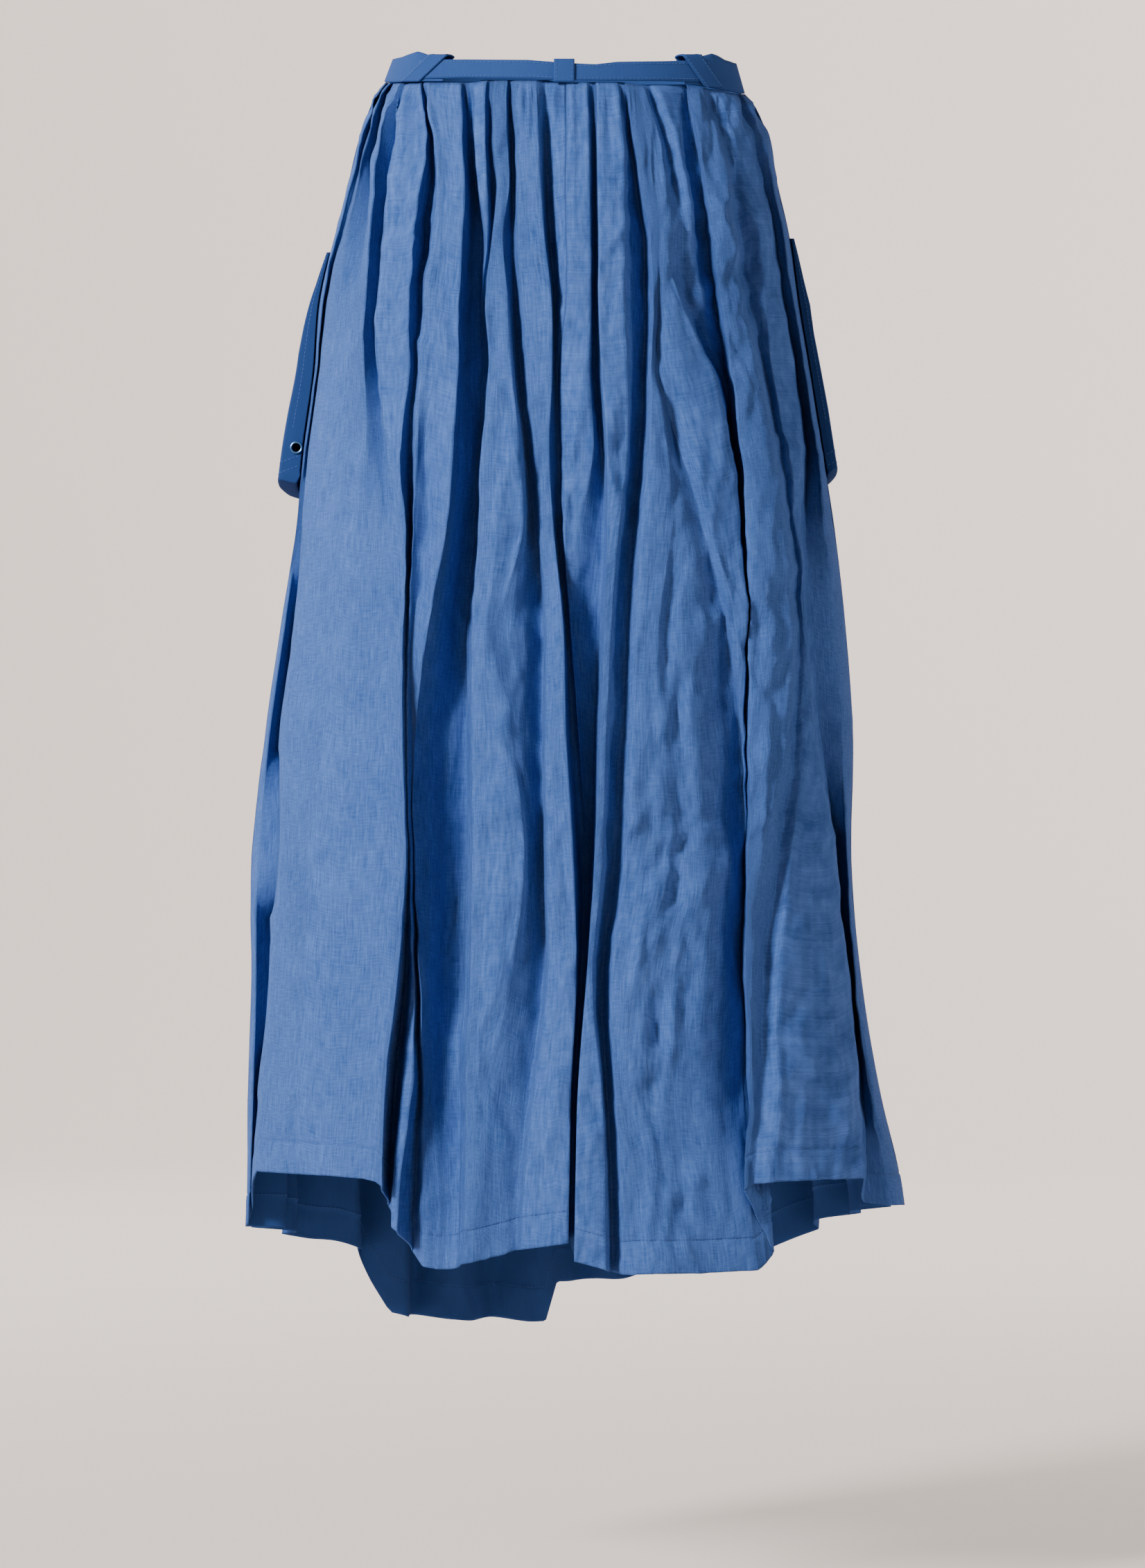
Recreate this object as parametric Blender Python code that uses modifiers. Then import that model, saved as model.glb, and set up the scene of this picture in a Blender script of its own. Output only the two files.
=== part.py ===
"""A maxi skirt, worn: gathered linen back panels, a longer cotton front, standing side
pockets with an eyelet, a waistband round the front and a narrow belt across the back.

Sizes are in millimetres and are turned into metres as each mesh is made. +Z is up, the
back of the skirt faces -Y, and the origin is the middle of the waist at its seam.
Positions across and up are noted as they look from straight behind, VIEW_DISTANCE away,
at the plane of the side seams. The function true_place moves them to where they are.
"""
import math

import bmesh
import bpy
import numpy as np

# Driving sizes
MM = 0.001
WALL = 1.4
BAND_WALL = 1.6
SEAM_GAP = 0.3
BAND_SEAM_GAP = 0.6
STEEPEST_WALL = 5.0
LINE_ROOM_SHARE = 0.18
LEAST_LINE_ROOM = 1.5
MOST_LINE_ROOM = 4.5
VIEW_DISTANCE = 4000.0
VIEW_X = 5.0
VIEW_Z = -506.0
BACK_STEPS = 3
ROWS = (0.0, 0.012, 0.03, 0.06, 0.1, 0.155, 0.22, 0.295, 0.375, 0.46, 0.55, 0.645, 0.745,
        0.85, 0.93, 1.0)

# Heights at which the folds are noted, below the waist seam
LEVELS = np.array([2.5, 105.0, 250.0, 390.0, 565.0, 790.0])

# Half depths of the skirt, front to back, at those heights
BACK_DEPTH = np.array([97.0, 124.0, 143.0, 155.0, 163.0, 175.0])
FRONT_DEPTH = np.array([95.0, 116.0, 134.0, 150.0, 166.0, 180.0])

# The back's fold lines from left to right. across: place at each height. deep: how far
# the line lies inside the skirt's outline there, less than 0 where it stands proud.
# hem: how far below the waist seam the line ends.
FOLDS = (
    # name, across at the six heights, deep at the six heights, hem
    ("left side", (-135, -164.5, -188.5, -205, -226.5, -229.5), (0, 0, 0, 0, 0, 0), 825),
    ("side strip", (-133.5, -162, -186.5, -202, -218, -227), (0, 0, 2, 2, 3, 2), 823),
    ("notch", (-131.5, -159.5, -184.5, -198.5, -208.5, -224), (5, 2, 6, 14, 16, 10), 815),
    ("A left edge", (-128, -156.5, -182, -196, -206, -221), (0, 0, 2, 0, -4, -6), 785),
    ("A valley", (-125, -144.5, -164.5, -173, -183, -193), (6, 7, 4, 1, 0, 0), 787),
    ("A crown", (-120.5, -138, -150.5, -158, -163, -173), (0, 0, 0, -2, -6, -10), 788),
    ("A trough", (-115, -132, -133.5, -138, -143, -153), (8, 13, 9, 0, -4, -10), 790),
    ("A right edge", (-109.5, -117, -120.5, -117.5, -117, -136), (0, 0, -1, -4, -8, -12), 796),
    ("B valley", (-104, -101.5, -112.5, -112, -112, -130), (8, 18, 20, 20, 24, 22), 812),
    ("B fold", (-99, -93, -107, -105.5, -109, -124.5), (0, 2, 4, 12, 12, 6), 828),
    ("C valley", (-93, -88, -102, -100, -104, -107), (8, 3, 10, 18, 28, 32), 850),
    ("C face", (-80.5, -80.5, -88, -88, -88, -88), (0, 0, 0, 12, 22, 16), 859),
    ("D valley", (-69.5, -65, -68, -74.5, -73.5, -76), (8, 22, 26, 28, 30, 24), 856),
    ("D left edge", (-63, -55, -58.5, -66, -66.5, -70), (0, 8, 0, 2, 0, 0), 852),
    ("D trough", (-54, -51, -50.5, -55.5, -58, -63), (8, 6, 0, 0, 0, 0), 851),
    ("D crown", (-47, -45.5, -43, -50.5, -53, -58), (0, 0, 0, 0, 0, 2), 848),
    ("E valley", (-39, -38, -29.5, -20.5, -23, -37), (8, 12, 14, 18, 20, 8), 840),
    ("E crown", (-29, -27, -17, -8, -5, -13), (0, 0, 4, 0, 0, -4), 835),
    ("F valley", (-18, -13, -8.5, -1, 9, 1), (8, 15, 20, 30, 34, 20), 840),
    ("centre back", (0, 0, -5, 3, 13, 4.5), (3, 4, 20, 32, 36, 21), 842),
    ("F crown", (9.5, 11, 11, 17, 15.5, 7), (0, 0, 0, 14, 36, 21), 843),
    ("G valley", (18.5, 20.5, 24.5, 25.5, 18, 10), (8, 10, 14, 14, 32, 20), 848),
    ("G crown", (24.5, 32, 37, 32, 24.5, 17.5), (0, 0, 0, 2, 2, -4), 856),
    ("H valley", (40, 49.5, 53, 40.5, 34.5, 34.5), (8, 15, 22, 20, 22, 16), 859),
    ("H crown", (51, 64.5, 66, 61, 59.5, 57), (0, 0, 0, 0, 0, 0), 859),
    ("slanted dip", (55, 68, 77, 112, 115, 112), (1, 1, 6, 8, 8, 0), 859),
    ("J crown", (58, 76, 97, 120, 119.5, 115.5), (0, 0, 0, 0, 6, 6), 857),
    ("J dip", (62, 87, 114, 124, 123, 118), (6, 8, 8, 6, 14, 14), 855),
    ("J valley", (78, 94, 117, 126, 125, 120), (7, 9, 12, 13, 22, 22), 850),
    ("K valley", (89.5, 103.5, 121, 128.5, 127, 122), (8, 14, 20, 22, 29, 27), 840),
    ("K left edge", (98, 110.5, 126.5, 134, 133.5, 129), (0, 0, 2, 0, -2, -6), 799),
    ("K crown", (104.5, 117, 139.5, 147, 142, 157), (0, 0, 0, 0, -2, -12), 795),
    ("L valley", (111, 123.5, 153, 163.5, 149.5, 174.5), (7, 9, 5, 8, 8, -8), 793),
    ("L crown", (118, 129.5, 159.5, 168, 167, 192), (0, 0, 2, 3, 0, -10), 791),
    ("flare edge", (123, 136, 170, 182, 193.5, 212), (6, 5, 5, 3, 10, -4), 790),
    ("M valley", (126, 141, 174, 186, 196, 219), (4, 4, 5, 3, 8, 12), 802),
    ("side ridge", (129.5, 150, 178, 193, 200, 230), (0, 0, 0, 0, 0, 0), 810),
    ("right side", (132, 157.5, 182, 201.5, 206.5, 241), (0, 0, 0, 0, 0, 0), 809),
)
CENTRE_BACK = 19

# The top of the gathers across the back: place, height of the waist seam
SEAM_TOP = np.array([(-135, 0), (-128, 0), (-108, 1), (-68, 1), (-63, 2.5), (-13, 2.5), (-8, 1),
                     (42, 1), (57, -1), (92, -1), (108, -3.5), (132, -8.5)])
# How far the seam draws the cloth in, and how quickly it springs out again below
PUCKER_DEEP = 6.5
PUCKER_SHARE = 0.7
PUCKER_REACH = 5.0

# The front: its gathers, and its hem across the front: place, drop below the waist seam
FRONT_FOLDS = 20
FRONT_STEPS = 4
FRONT_ROWS = (0.0, 0.02, 0.08, 0.2, 0.36, 0.55, 0.76, 1.0)
FRONT_FOLD_DEEP = np.array([6.0, 10.0, 14.0, 18.0, 22.0, 26.0])
FRONT_SEAM_DIP = 16.0
FRONT_HEM = np.array([(-230, 825), (-178, 836), (-140, 843), (-122, 880), (-60, 890), (-27, 893),
                      (0, 866), (60, 858), (130, 850), (160, 836), (192, 820), (244, 809)])

# The strips round the waist: how deep inside the skirt's outline each outer face lies
BINDING_DEEP = 11.2
BINDING_WALL = 1.2
BINDING_RISE = 1.2
BINDING_DROP = 8.0
BAND_DEEP = 5.5
BAND_LEAN = 6.0
# The waistband's top edge: degrees round the skirt, height
BAND_TOP = np.array([(130, 14), (134, 16.5), (139, 19.2), (143, 22), (147.5, 23.5), (153, 21.5),
                     (160, 19), (170, 17.5), (180, 16.5), (225, 12.5), (270, 10.5), (315, 11.5),
                     (350, 13), (360, 13.5), (370, 14.5), (380, 17), (386, 20.5), (390, 22),
                     (399, 19.3), (405, 17), (410, 14)])
# How deep the waistband's bottom edge lies: degrees round the skirt, depth
BAND_BOTTOM = np.array([(330, 5.5), (355, 3.0), (368, 3.0), (388, 5.5)])
BAND_END_LEFT = -88.0
BAND_END_RIGHT = 86.0
BELT_DEEP = 3.7
BELT_WALL = 1.4
# The belt across the back: place, top edge, bottom edge
BELT = np.array([(-106, 17.5, 3.6), (-74, 17.6, 4.4), (-28, 17.4, 3.8), (0, 15.2, 2.8),
                 (22, 14.2, 2.4), (38, 16.0, 2.2), (72, 16.4, 2.0), (104, 17.0, 1.0)])
# Belt loops: name, place of the foot, place of the head, width
LOOPS = (("loop_left", -113.0, -93.0, 13.5),
         ("loop_centre", -1.0, -1.0, 15.0),
         ("loop_right", 108.0, 92.0, 13.5))
LOOP_WALL = 1.2
SIDE_LOOP_TOP = 20.2
LOOP_STEPS = 6

# Standing pockets: drop below the waist seam, how far the rear corner stands out
POCKET_STAND = {
    "pocket_left": ((122, 3.4), (145, 5.5), (177, 10.5), (195, 13), (235, 15.5), (286, 17)),
    "pocket_right": ((112, 3.6), (135, 6), (160, 8.8), (180, 8.2), (235, 9.6), (272, 9.4)),
}
# Where each pocket ends: at the side seam, at its rear corner, and on the front
POCKET_HEM = {"pocket_left": (280, 286, 298), "pocket_right": (281, 277, 290)}
POCKET_REACH = 78.0
POCKET_REST = 3.2
POCKET_EDGE = 1.5
POCKET_BELLY = 3.0
# Rows of a pocket: share of the way down, share of the way in under its bottom
POCKET_ROWS = ((0, 0), (0.12, 0), (0.26, 0), (0.4, 0), (0.55, 0), (0.7, 0), (0.85, 0), (1, 0),
               (1, 0.45), (1, 0.9))
EYELET_ACROSS = -194.2
EYELET_DROP = 263.0
EYELET_RING = 3.8
EYELET_WIRE = 0.7
EYELET_HOLE = 3.1

# Colours
LINEN_BLUE = (0.095, 0.22, 0.44, 1.0)
COTTON_BLUE = (0.045, 0.13, 0.30, 1.0)
METAL_BLUE = (0.12, 0.25, 0.48, 1.0)


def clear_scene():
    for old in list(bpy.data.objects):
        bpy.data.objects.remove(old, do_unlink=True)


def make_collection(name):
    collection = bpy.data.collections.new(name)
    bpy.context.scene.collection.children.link(collection)
    return collection


def make_material(name, colour, roughness, metallic):
    material = bpy.data.materials.new(name)
    material.use_nodes = True
    shader = material.node_tree.nodes["Principled BSDF"]
    shader.inputs["Base Color"].default_value = colour
    shader.inputs["Roughness"].default_value = roughness
    shader.inputs["Metallic"].default_value = metallic
    return material


def add_object(name, mesh, material, collection):
    mesh.materials.append(material)
    mesh.shade_smooth()
    mesh.set_sharp_from_angle(angle=math.radians(40))
    thing = bpy.data.objects.new(name, mesh)
    collection.objects.link(thing)
    return thing


def along_height(values, drop):
    """A smooth curve through values at LEVELS, read at each drop below the waist seam."""
    values = np.asarray(values, float)
    slopes = np.gradient(values, LEVELS, axis=-1)
    k = np.clip(np.searchsorted(LEVELS, drop) - 1, 0, len(LEVELS) - 2)
    span = LEVELS[k + 1] - LEVELS[k]
    t = np.clip((drop - LEVELS[k]) / span, 0, 1)
    curve = ((1 + 2 * t) * (1 - t) ** 2 * values[k] + t * (1 - t) ** 2 * span * slopes[k]
             + t * t * (3 - 2 * t) * values[k + 1] + t * t * (t - 1) * span * slopes[k + 1])
    above = np.minimum(drop - LEVELS[0], 0) * slopes[0]
    below = np.maximum(drop - LEVELS[-1], 0) * slopes[-1]
    return curve + above + below


def outline(drop):
    """Middle, half width, back half depth and front half depth of the skirt at a height."""
    left = along_height(FOLDS[0][1], drop)
    right = along_height(FOLDS[-1][1], drop)
    back = along_height(BACK_DEPTH, drop)
    front = along_height(FRONT_DEPTH, drop)
    return (left + right) / 2, (right - left) / 2, back, front


def place_on_outline(angle, drop, deep):
    """A point at an angle round the skirt, pi at the left side, 0 at the right side and
    pi / 2 at the centre back. From pi to 2 pi is the front. deep is measured inwards."""
    middle, half, back, front = outline(drop)
    depth = np.where(np.sin(angle) < 0, front, back)
    across = np.cos(angle) / half
    along = np.sin(angle) / depth
    size = np.hypot(across, along)
    x = middle + half * np.cos(angle) - deep * across / size
    y = -depth * np.sin(angle) + deep * along / size
    return np.stack(np.broadcast_arrays(x, y, -drop), axis=-1)


def angle_at(x, drop, deep):
    """The angle round the back at which a line of some depth is seen at x."""
    middle, half, back, _ = outline(drop)
    cosine = np.clip((x - middle) / half, -1, 1)
    for _ in range(4):
        across = cosine / half
        along = np.sqrt(1 - cosine ** 2) / back
        shift = deep * across / np.hypot(across, along)
        cosine = np.clip((x + shift - middle) / half, -1, 1)
    return np.arccos(cosine)


def true_place(points, flat):
    """Moves points noted as seen from behind to where they really are. Their height
    follows the point of the outline, flat, that they lie in or out from."""
    x = VIEW_X + (points[..., 0] - VIEW_X) * (1 + points[..., 1] / VIEW_DISTANCE)
    z = VIEW_Z + (points[..., 2] - VIEW_Z) * (1 + flat[..., 1] / VIEW_DISTANCE)
    return np.stack([x, points[..., 1], z], axis=-1)


def wall_mesh(name, outer, inner):
    """A closed wall between two grids of points, lofted through its sections."""
    rows, columns, _ = outer.shape
    mesh = bpy.data.meshes.new(name)
    shape = bmesh.new()
    sides = []
    for grid in (outer, inner):
        sides.append([[shape.verts.new(point * MM) for point in row] for row in grid])
    for side in sides:
        for r in range(rows - 1):
            for c in range(columns - 1):
                shape.faces.new((side[r][c], side[r][c + 1], side[r + 1][c + 1], side[r + 1][c]))
    out, inn = sides
    for r in (0, rows - 1):
        for c in range(columns - 1):
            shape.faces.new((out[r][c], out[r][c + 1], inn[r][c + 1], inn[r][c]))
    for c in (0, columns - 1):
        for r in range(rows - 1):
            shape.faces.new((out[r][c], out[r + 1][c], inn[r + 1][c], inn[r][c]))
    bmesh.ops.recalc_face_normals(shape, faces=shape.faces)
    shape.to_mesh(mesh)
    shape.free()
    return mesh


def wall_through_folds(angle, drop, deep, wall):
    """How deep the inner face lies, so that steep sides of a fold keep their thickness."""
    outer = place_on_outline(angle, drop, deep)
    flat = place_on_outline(angle, drop, np.zeros_like(deep))
    step = np.linalg.norm(np.diff(flat[..., :2], axis=1), axis=-1)
    rise = np.abs(np.diff(deep, axis=1))
    stretch = np.hypot(step, rise) / np.maximum(step, 0.01)
    stretch = np.pad(stretch, ((0, 0), (1, 1)), mode="edge")
    stretch = np.maximum(stretch[:, :-1], stretch[:, 1:])
    inner_deep = deep + np.minimum(wall * stretch, STEEPEST_WALL)
    below_seam = drop - drop[:1]
    near_waist = BINDING_DEEP - 1.2 + np.maximum(below_seam - BINDING_DROP - 2.0, 0) * 2.0
    inner_deep = np.minimum(inner_deep, np.maximum(near_waist, deep + wall * 0.7))
    inner = place_on_outline(angle, drop, inner_deep)
    return true_place(outer, flat), true_place(inner, flat)


def fold_lines(drop):
    """Angle and depth of every fold line at a grid of heights, one column for each line."""
    across = np.stack([along_height(fold[1], drop[:, i]) for i, fold in enumerate(FOLDS)], axis=1)
    deep = np.stack([along_height(fold[2], drop[:, i]) for i, fold in enumerate(FOLDS)], axis=1)
    angle = angle_at(across, drop, deep)
    angle[:, 0] = math.pi
    angle[:, -1] = 0.0
    return in_order(angle, drop, deep), deep


def in_order(angle, drop, deep):
    """Keeps the fold lines in their order round the skirt, with more room between two lines
    where the cloth between them is steep, so that the wall never doubles over itself."""
    _, _, back, _ = outline(drop[:, :-1])
    room = np.clip(np.abs(np.diff(deep, axis=1)) * LINE_ROOM_SHARE, LEAST_LINE_ROOM, MOST_LINE_ROOM)
    spread = np.pad(np.cumsum(room / back, axis=1), ((0, 0), (1, 0)))
    placed = np.clip(angle + spread, spread[:, -1:], math.pi)
    from_left = np.minimum.accumulate(placed, axis=1)
    from_right = np.maximum.accumulate(placed[:, ::-1], axis=1)[:, ::-1]
    return (from_left + from_right) / 2 - spread


def back_grid(first, last):
    """Angles, heights and depths of the back's surface between two fold lines."""
    waist_angles, _ = fold_lines(np.full((1, len(FOLDS)), LEVELS[0]))
    tops = seam_drop(waist_place(waist_angles[0]))
    hems = np.array([fold[3] for fold in FOLDS], float)
    angles, drops, deeps = [], [], []
    for i in range(first, last):
        for step in range(BACK_STEPS + (i == last - 1)):
            t = step / BACK_STEPS
            top = tops[i] + (tops[i + 1] - tops[i]) * t
            hem = hems[i] + (hems[i + 1] - hems[i]) * t
            drop = top + (hem - top) * np.array(ROWS)
            angle, deep = fold_lines(np.repeat(drop[:, None], len(FOLDS), axis=1))
            ease = t * t * (3 - 2 * t)
            angles.append(angle[:, i] + (angle[:, i + 1] - angle[:, i]) * t)
            fold_deep = deep[:, i] + (deep[:, i + 1] - deep[:, i]) * ease
            pucker = PUCKER_SHARE * np.exp(-(drop - top) / PUCKER_REACH)
            deeps.append(fold_deep + (PUCKER_DEEP - fold_deep) * pucker)
            drops.append(drop)
    return np.stack(angles, 1), np.stack(drops, 1), np.stack(deeps, 1)


def make_back(name, first, last, material, collection):
    angle, drop, deep = back_grid(first, last)
    outer, inner = wall_through_folds(angle, drop, deep, WALL)
    side = -SEAM_GAP / 2 if last == CENTRE_BACK else SEAM_GAP / 2
    outer[..., 0] += side
    inner[..., 0] += side
    return add_object(name, wall_mesh(name, outer, inner), material, collection)


def seam_drop(x):
    """Drop of the waist seam at a place across the back."""
    return -np.interp(x, SEAM_TOP[:, 0], SEAM_TOP[:, 1])


def front_seam_drop(angle):
    """The waist seam round the front runs from one side seam to the other and dips between."""
    left = seam_drop(FOLDS[0][1][0])
    right = seam_drop(FOLDS[-1][1][0])
    return left + (right - left) * (1 + np.cos(angle)) / 2 + FRONT_SEAM_DIP * np.sin(angle) ** 2


def make_front(material, collection):
    columns = FRONT_FOLDS * FRONT_STEPS + 1
    turn = np.linspace(0, 1, columns)
    angle = np.repeat((math.pi + math.pi * turn)[None, :], len(FRONT_ROWS), axis=0)
    top = front_seam_drop(angle[0])
    left_hem, right_hem = FOLDS[0][1][-1], FOLDS[-1][1][-1]
    hem_place = left_hem + (right_hem - left_hem) * (1 + np.cos(angle[0])) / 2
    hem = np.interp(hem_place, FRONT_HEM[:, 0], FRONT_HEM[:, 1])
    drop = top + (hem - top) * np.array(FRONT_ROWS)[:, None]
    uneven_turn = turn + 0.006 * np.sin(2 * math.pi * 3 * turn) * np.sin(math.pi * turn)
    wave = (1 - np.cos(2 * math.pi * FRONT_FOLDS * uneven_turn)) / 2
    uneven = 0.75 + 0.25 * np.sin(7.3 * turn + 1.0) * np.cos(13.1 * turn)
    deep = along_height(FRONT_FOLD_DEEP, drop) * (wave * uneven)[None, :]
    pucker = PUCKER_SHARE * np.exp(-(drop - top) / PUCKER_REACH)
    deep = deep + (PUCKER_DEEP - deep) * pucker
    outer, inner = wall_through_folds(angle, drop, deep, WALL)
    outer[..., 1] += SEAM_GAP
    inner[..., 1] += SEAM_GAP
    return add_object("front", wall_mesh("front", outer, inner), material, collection)


def strip(name, angle, top, bottom, deep_top, deep_bottom, wall, material, collection):
    """A smooth strip round the waist, between a top and a bottom edge."""
    drop = np.stack([-top, -(top + bottom) / 2, -bottom])
    deep = np.stack([deep_top, (deep_top + deep_bottom) / 2, deep_bottom])
    angle = np.repeat(angle[None, :], 3, axis=0)
    level = np.full_like(drop, LEVELS[0])
    flat = place_on_outline(angle, level, np.zeros_like(level))
    points = []
    for face in (deep, deep + wall):
        grid = place_on_outline(angle, level, face)
        grid[..., 2] = -drop
        points.append(true_place(grid, flat))
    return add_object(name, wall_mesh(name, *points), material, collection)


def waist_angle(x, deep):
    """The angle at the waist at which something of some depth is seen at x."""
    return float(angle_at(np.array(x, float), np.array(LEVELS[0]), np.array(deep, float)))


def waist_place(angle):
    middle, half, _, _ = outline(np.array(LEVELS[0]))
    return middle + half * np.cos(angle)


def make_binding(material, collection):
    angle = np.linspace(math.radians(176), math.radians(4), 49)
    edge = -seam_drop(waist_place(angle))
    deep = np.full_like(angle, BINDING_DEEP)
    return strip("back_binding", angle, edge + BINDING_RISE, edge - BINDING_DROP, deep, deep,
                 BINDING_WALL, material, collection)


def make_band(material, collection):
    start = waist_angle(BAND_END_LEFT, BAND_DEEP)
    finish = waist_angle(BAND_END_RIGHT, BAND_DEEP)
    angle = np.linspace(start, 2 * math.pi + finish, 73)
    place = waist_place(angle)
    behind = (angle < math.pi) | (angle > 2 * math.pi)
    seam = np.where(behind, seam_drop(place), front_seam_drop(angle))
    top = np.interp(np.degrees(angle), BAND_TOP[:, 0], BAND_TOP[:, 1])
    low = np.interp(np.degrees(angle), BAND_BOTTOM[:, 0], BAND_BOTTOM[:, 1])
    return strip("waistband", angle, top, BAND_SEAM_GAP - seam, low + BAND_LEAN, low, BAND_WALL,
                 material, collection)


def belt_edges(x):
    return np.interp(x, BELT[:, 0], BELT[:, 1]), np.interp(x, BELT[:, 0], BELT[:, 2])


def make_belt(material, collection):
    start = waist_angle(BELT[0, 0], BELT_DEEP)
    finish = waist_angle(BELT[-1, 0], BELT_DEEP)
    angle = np.linspace(start, finish, 33)
    top, bottom = belt_edges(waist_place(angle))
    low = np.full_like(angle, BELT_DEEP)
    return strip("belt", angle, top, bottom, low, low, BELT_WALL, material, collection)


def make_loop(name, foot, head, width, material, collection):
    """A flat loop that rises over the belt's face, round its top edge and down behind it."""
    tops, _ = belt_edges((foot + head) / 2 + np.array([-width, 0, width]))
    seam = -seam_drop(foot) + BAND_SEAM_GAP
    front = BELT_DEEP - SEAM_GAP
    behind = BELT_DEEP + BELT_WALL + SEAM_GAP
    over = tops.max() + SEAM_GAP
    if name != "loop_centre":
        behind = BAND_DEEP + BAND_LEAN + BAND_WALL + SEAM_GAP
        over = SIDE_LOOP_TOP
    # depth and height along the loop's inner face, then along its outer face
    rise = [seam + (over - seam) * step / LOOP_STEPS for step in range(LOOP_STEPS)]
    inside = [(front, height) for height in rise]
    inside += [(front, over), (behind, over), (behind, over - 5)]
    outside = [(front - LOOP_WALL, height) for height in rise]
    outside += [(front - LOOP_WALL, over + LOOP_WALL), (behind + LOOP_WALL, over + LOOP_WALL),
                (behind + LOOP_WALL, over - 5)]
    faces = []
    for route in (outside, inside):
        grid = []
        for deep, height in route:
            share = np.clip((height - seam) / (over - seam), 0, 1)
            x = foot + (head - foot) * share + np.linspace(-width / 2, width / 2, 4)
            angle = np.array([waist_angle(each, front) for each in x])
            row = place_on_outline(angle, np.full(4, LEVELS[0]), np.full(4, deep))
            flat = place_on_outline(angle, np.full(4, LEVELS[0]), np.zeros(4))
            row[:, 2] = height
            grid.append(true_place(row, flat))
        faces.append(np.array(grid))
    return add_object(name, wall_mesh(name, *faces), material, collection)


def make_pocket(name, material, collection):
    """A standing pocket: a rear gusset at the side seam, a face that runs forward, a front
    gusset and a bottom, open at its mouth above."""
    side = -1 if name == "pocket_left" else 1
    stand = np.array(POCKET_STAND[name], float)
    hem_side, hem_corner, hem_front = POCKET_HEM[name]
    # round the pocket from the side seam: how far forward, and its share of the full stand
    forward = np.array([-0.6, -0.7, -0.2, 1.5, 20, 38, 56, POCKET_REACH - 4, POCKET_REACH - 0.5,
                        POCKET_REACH])
    share = np.array([0.0, 0.5, 0.93, 1.0, 1.0, 0.9, 0.75, 0.6, 0.5, 0.0])
    hems = np.interp(forward, (1.5, 40.0), (hem_corner, hem_front))
    hems[:3] = hem_side + (hem_corner - hem_side) * share[:3]
    rows = []
    for t, under in POCKET_ROWS:
        drop = stand[0, 0] + (hems - stand[0, 0]) * t
        middle, half, _, front = outline(drop)
        out = np.interp(drop, stand[:, 0], stand[:, 1])
        off = np.where(share > 0, np.maximum(out * share, POCKET_REST * np.minimum(share * 2, 1)), 0)
        off[:3] = POCKET_EDGE + (np.maximum(out, POCKET_REST) - POCKET_EDGE)[:3] * share[:3]
        off = POCKET_EDGE + (off - POCKET_EDGE).clip(0) * (1 - under)
        run = np.sqrt(1 - np.clip(forward / front, 0, 1) ** 2)
        x = middle + side * (half * run + off)
        z = -drop - POCKET_BELLY * math.sin(under * math.pi / 2)
        rows.append(np.stack([x, forward + SEAM_GAP, z], axis=-1))
    grid = true_place(np.array(rows), np.array(rows))
    mesh = bpy.data.meshes.new(name)
    shape = bmesh.new()
    verts = [[shape.verts.new(point * MM) for point in row] for row in grid]
    for r in range(len(verts) - 1):
        for c in range(len(verts[0]) - 1):
            face = (verts[r][c], verts[r + 1][c], verts[r + 1][c + 1], verts[r][c + 1])
            shape.faces.new(face if side > 0 else face[::-1])
    shape.to_mesh(mesh)
    shape.free()
    pocket = add_object(name, mesh, material, collection)
    solid = pocket.modifiers.new("wall", "SOLIDIFY")
    solid.thickness = (WALL - 0.1) * MM
    solid.offset = -1.0
    solid.use_even_offset = False
    return pocket


def cut_eyelet(pocket, cutters):
    bpy.ops.mesh.primitive_cylinder_add(
        vertices=20, radius=EYELET_HOLE * MM, depth=7.0 * MM,
        location=(EYELET_ACROSS * MM, 0.5 * MM, -EYELET_DROP * MM), rotation=(math.pi / 2, 0, 0))
    cutter = bpy.context.object
    cutter.name = "eyelet_cutter"
    for home in list(cutter.users_collection):
        home.objects.unlink(cutter)
    cutters.objects.link(cutter)
    cutter.hide_render = True
    cutter.display_type = "WIRE"
    hole = pocket.modifiers.new("eyelet hole", "BOOLEAN")
    hole.operation = "DIFFERENCE"
    hole.object = cutter


def make_eyelet(material, collection):
    bpy.ops.mesh.primitive_torus_add(
        major_radius=EYELET_RING * MM, minor_radius=EYELET_WIRE * MM,
        major_segments=28, minor_segments=8,
        location=(EYELET_ACROSS * MM, -1.5 * MM, -EYELET_DROP * MM), rotation=(math.pi / 2, 0, 0))
    ring = bpy.context.object
    ring.name = "eyelet"
    for home in list(ring.users_collection):
        home.objects.unlink(ring)
    collection.objects.link(ring)
    ring.data.materials.append(material)
    ring.data.shade_smooth()


def main():
    clear_scene()
    skirt = make_collection("maxi_skirt")
    cutters = make_collection("cutters")
    linen = make_material("linen", LINEN_BLUE, 0.9, 0.0)
    cotton = make_material("cotton", COTTON_BLUE, 0.85, 0.0)
    metal = make_material("painted_metal", METAL_BLUE, 0.35, 0.8)
    make_back("back_left", 0, CENTRE_BACK, linen, skirt)
    make_back("back_right", CENTRE_BACK, len(FOLDS) - 1, linen, skirt)
    make_front(cotton, skirt)
    make_binding(cotton, skirt)
    make_band(cotton, skirt)
    make_belt(cotton, skirt)
    for name, foot, head, width in LOOPS:
        make_loop(name, foot, head, width, cotton, skirt)
    left = make_pocket("pocket_left", cotton, skirt)
    make_pocket("pocket_right", cotton, skirt)
    cut_eyelet(left, cutters)
    make_eyelet(metal, skirt)


main()
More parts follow.
